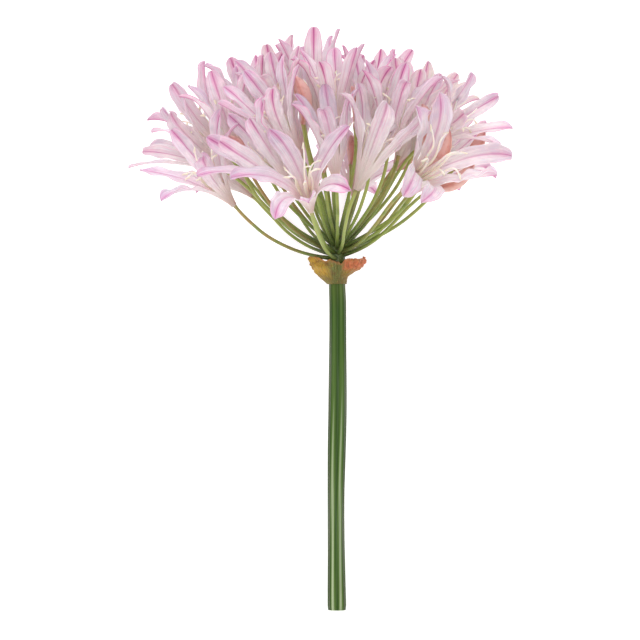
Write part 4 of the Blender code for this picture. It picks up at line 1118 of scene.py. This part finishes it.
def bud_skin():
    """Waxy bud skin: coral and salmon, deeper at the foot, with pale keels."""
    mix = Recipe("bud skin", 0.42, Subsurface_Weight=0.25, Subsurface_Scale=0.002)
    keel, streak = mix.own("keel"), mix.grain(420, 3)
    body = mix.ramp(
        mix.own("along"),
        (0.0, (140, 84, 60)),
        (0.18, (178, 102, 88)),
        (0.50, (208, 130, 112)),
        (0.80, (212, 146, 134)),
        (1.0, (184, 116, 122)),
    )
    body = mix.over(
        mix.mix(mix.times(mix.own("tone"), 0.45), body, (226, 170, 158)),
        (keel, (0.35, 0.0), (1.0, 0.5), (232, 196, 190)),
        (keel, (0.0, 0.55), (0.12, 0.0), (160, 88, 82)),
        (streak, (0.45, 0.0), (0.75, 0.45), (186, 106, 96)),
    )
    return mix.finished(body, streak, 0.0002, 0.7)


def bud_radius(size):
    """A bud's radius along it and round it: a spindle with low keels and narrow seams."""

    def radius(height, turn):
        body = BUD_RADIUS * size * np.interp(height, *zip(*BUD_PROFILE))
        ridge = 0.05 * np.cos(3 * turn) - 0.09 * (1 - np.abs(np.sin(1.5 * turn))) ** 4
        return body * (1 + ridge * np.clip(height * 4, 0, 1))

    return radius


closed = add_tube(BUD_SIDES, BUD_CUTS)
unit_points = points_of(closed)
closed.data.materials.append(bud_skin())
fold = np.abs(np.sin(1.5 * np.arctan2(unit_points[:, 1], unit_points[:, 0]))) ** 0.6
for name, line, size, axis in zip(umbel.bud_names, umbel.bud_line(30), umbel.bud_size, umbel.bud_axis):
    bud = copied(closed)
    set_points(bud, laid(led_along(line, unit_points, bud_radius(size), axis[[1, 2, 0]])))
    carry(bud, "along", unit_points[:, 2])
    carry(bud, "keel", fold)
    carry(bud, "tone", rng.uniform(0, 1))
    named(bud, "furled_bud_" + name, "bud", "bud_" + name)
bpy.data.objects.remove(closed)

# The floor, the light and the camera
# The head lies on a pale matt floor under a broad soft light. The camera looks straight down on the head's face,
# from far enough to flatten it as the photograph does.
CAMERA_REACH = 2.0
VIEW_WIDTH = 0.320
VIEW_CENTRE = (-8.5 * MM, -31.0 * MM)
SENSOR = 36.0

bpy.ops.mesh.primitive_plane_add(size=12, location=(0, 0, 0))
floor = bpy.context.object
floor.name = "floor"
pale = Recipe("pale floor", 0.9, Emission_Color=(1.0, 1.0, 1.0, 1.0), Emission_Strength=0.40)
whites = pale.ramp(pale.grain(3.0, 2), (0.3, (0.96, 0.96, 0.955, 1.0)), (0.7, (0.98, 0.98, 0.975, 1.0)))
floor.data.materials.append(pale.finished(whites))

bpy.context.scene.view_settings.view_transform = "Standard"
world = bpy.data.worlds.new("soft room")
bpy.context.scene.world = world
world.use_nodes = True
daylight = world.node_tree.nodes["Background"].inputs
daylight["Color"].default_value = (1.0, 1.0, 1.0, 1.0)
daylight["Strength"].default_value = 0.66

for name, place, size, power in (
    ("overhead", (-0.50, -0.20, 1.6), 1.2, 3.0),
    ("front", (0.15, -0.75, 1.75), 0.9, 11.0),
    ("behind the head", (-0.2, 1.4, 1.1), 1.0, 12.0),
):
    light = bpy.data.lights.new(name, "AREA")
    light.size = size
    light.energy = power
    lamp = bpy.data.objects.new(name, light)
    bpy.context.scene.collection.objects.link(lamp)
    lamp.location = place
    lamp.rotation_euler = (-Vector(place)).to_track_quat("-Z", "Y").to_euler()

lens = bpy.data.cameras.new("camera")
lens.sensor_width = SENSOR
lens.lens = SENSOR * CAMERA_REACH / VIEW_WIDTH
camera = bpy.data.objects.new("camera", lens)
bpy.context.scene.collection.objects.link(camera)
camera.rotation_euler = (LYING_TILT, 0.0, 0.0)
camera.location = laid([[*VIEW_CENTRE, CAMERA_REACH]])[0]
lens.clip_end = 20.0
bpy.context.scene.camera = camera
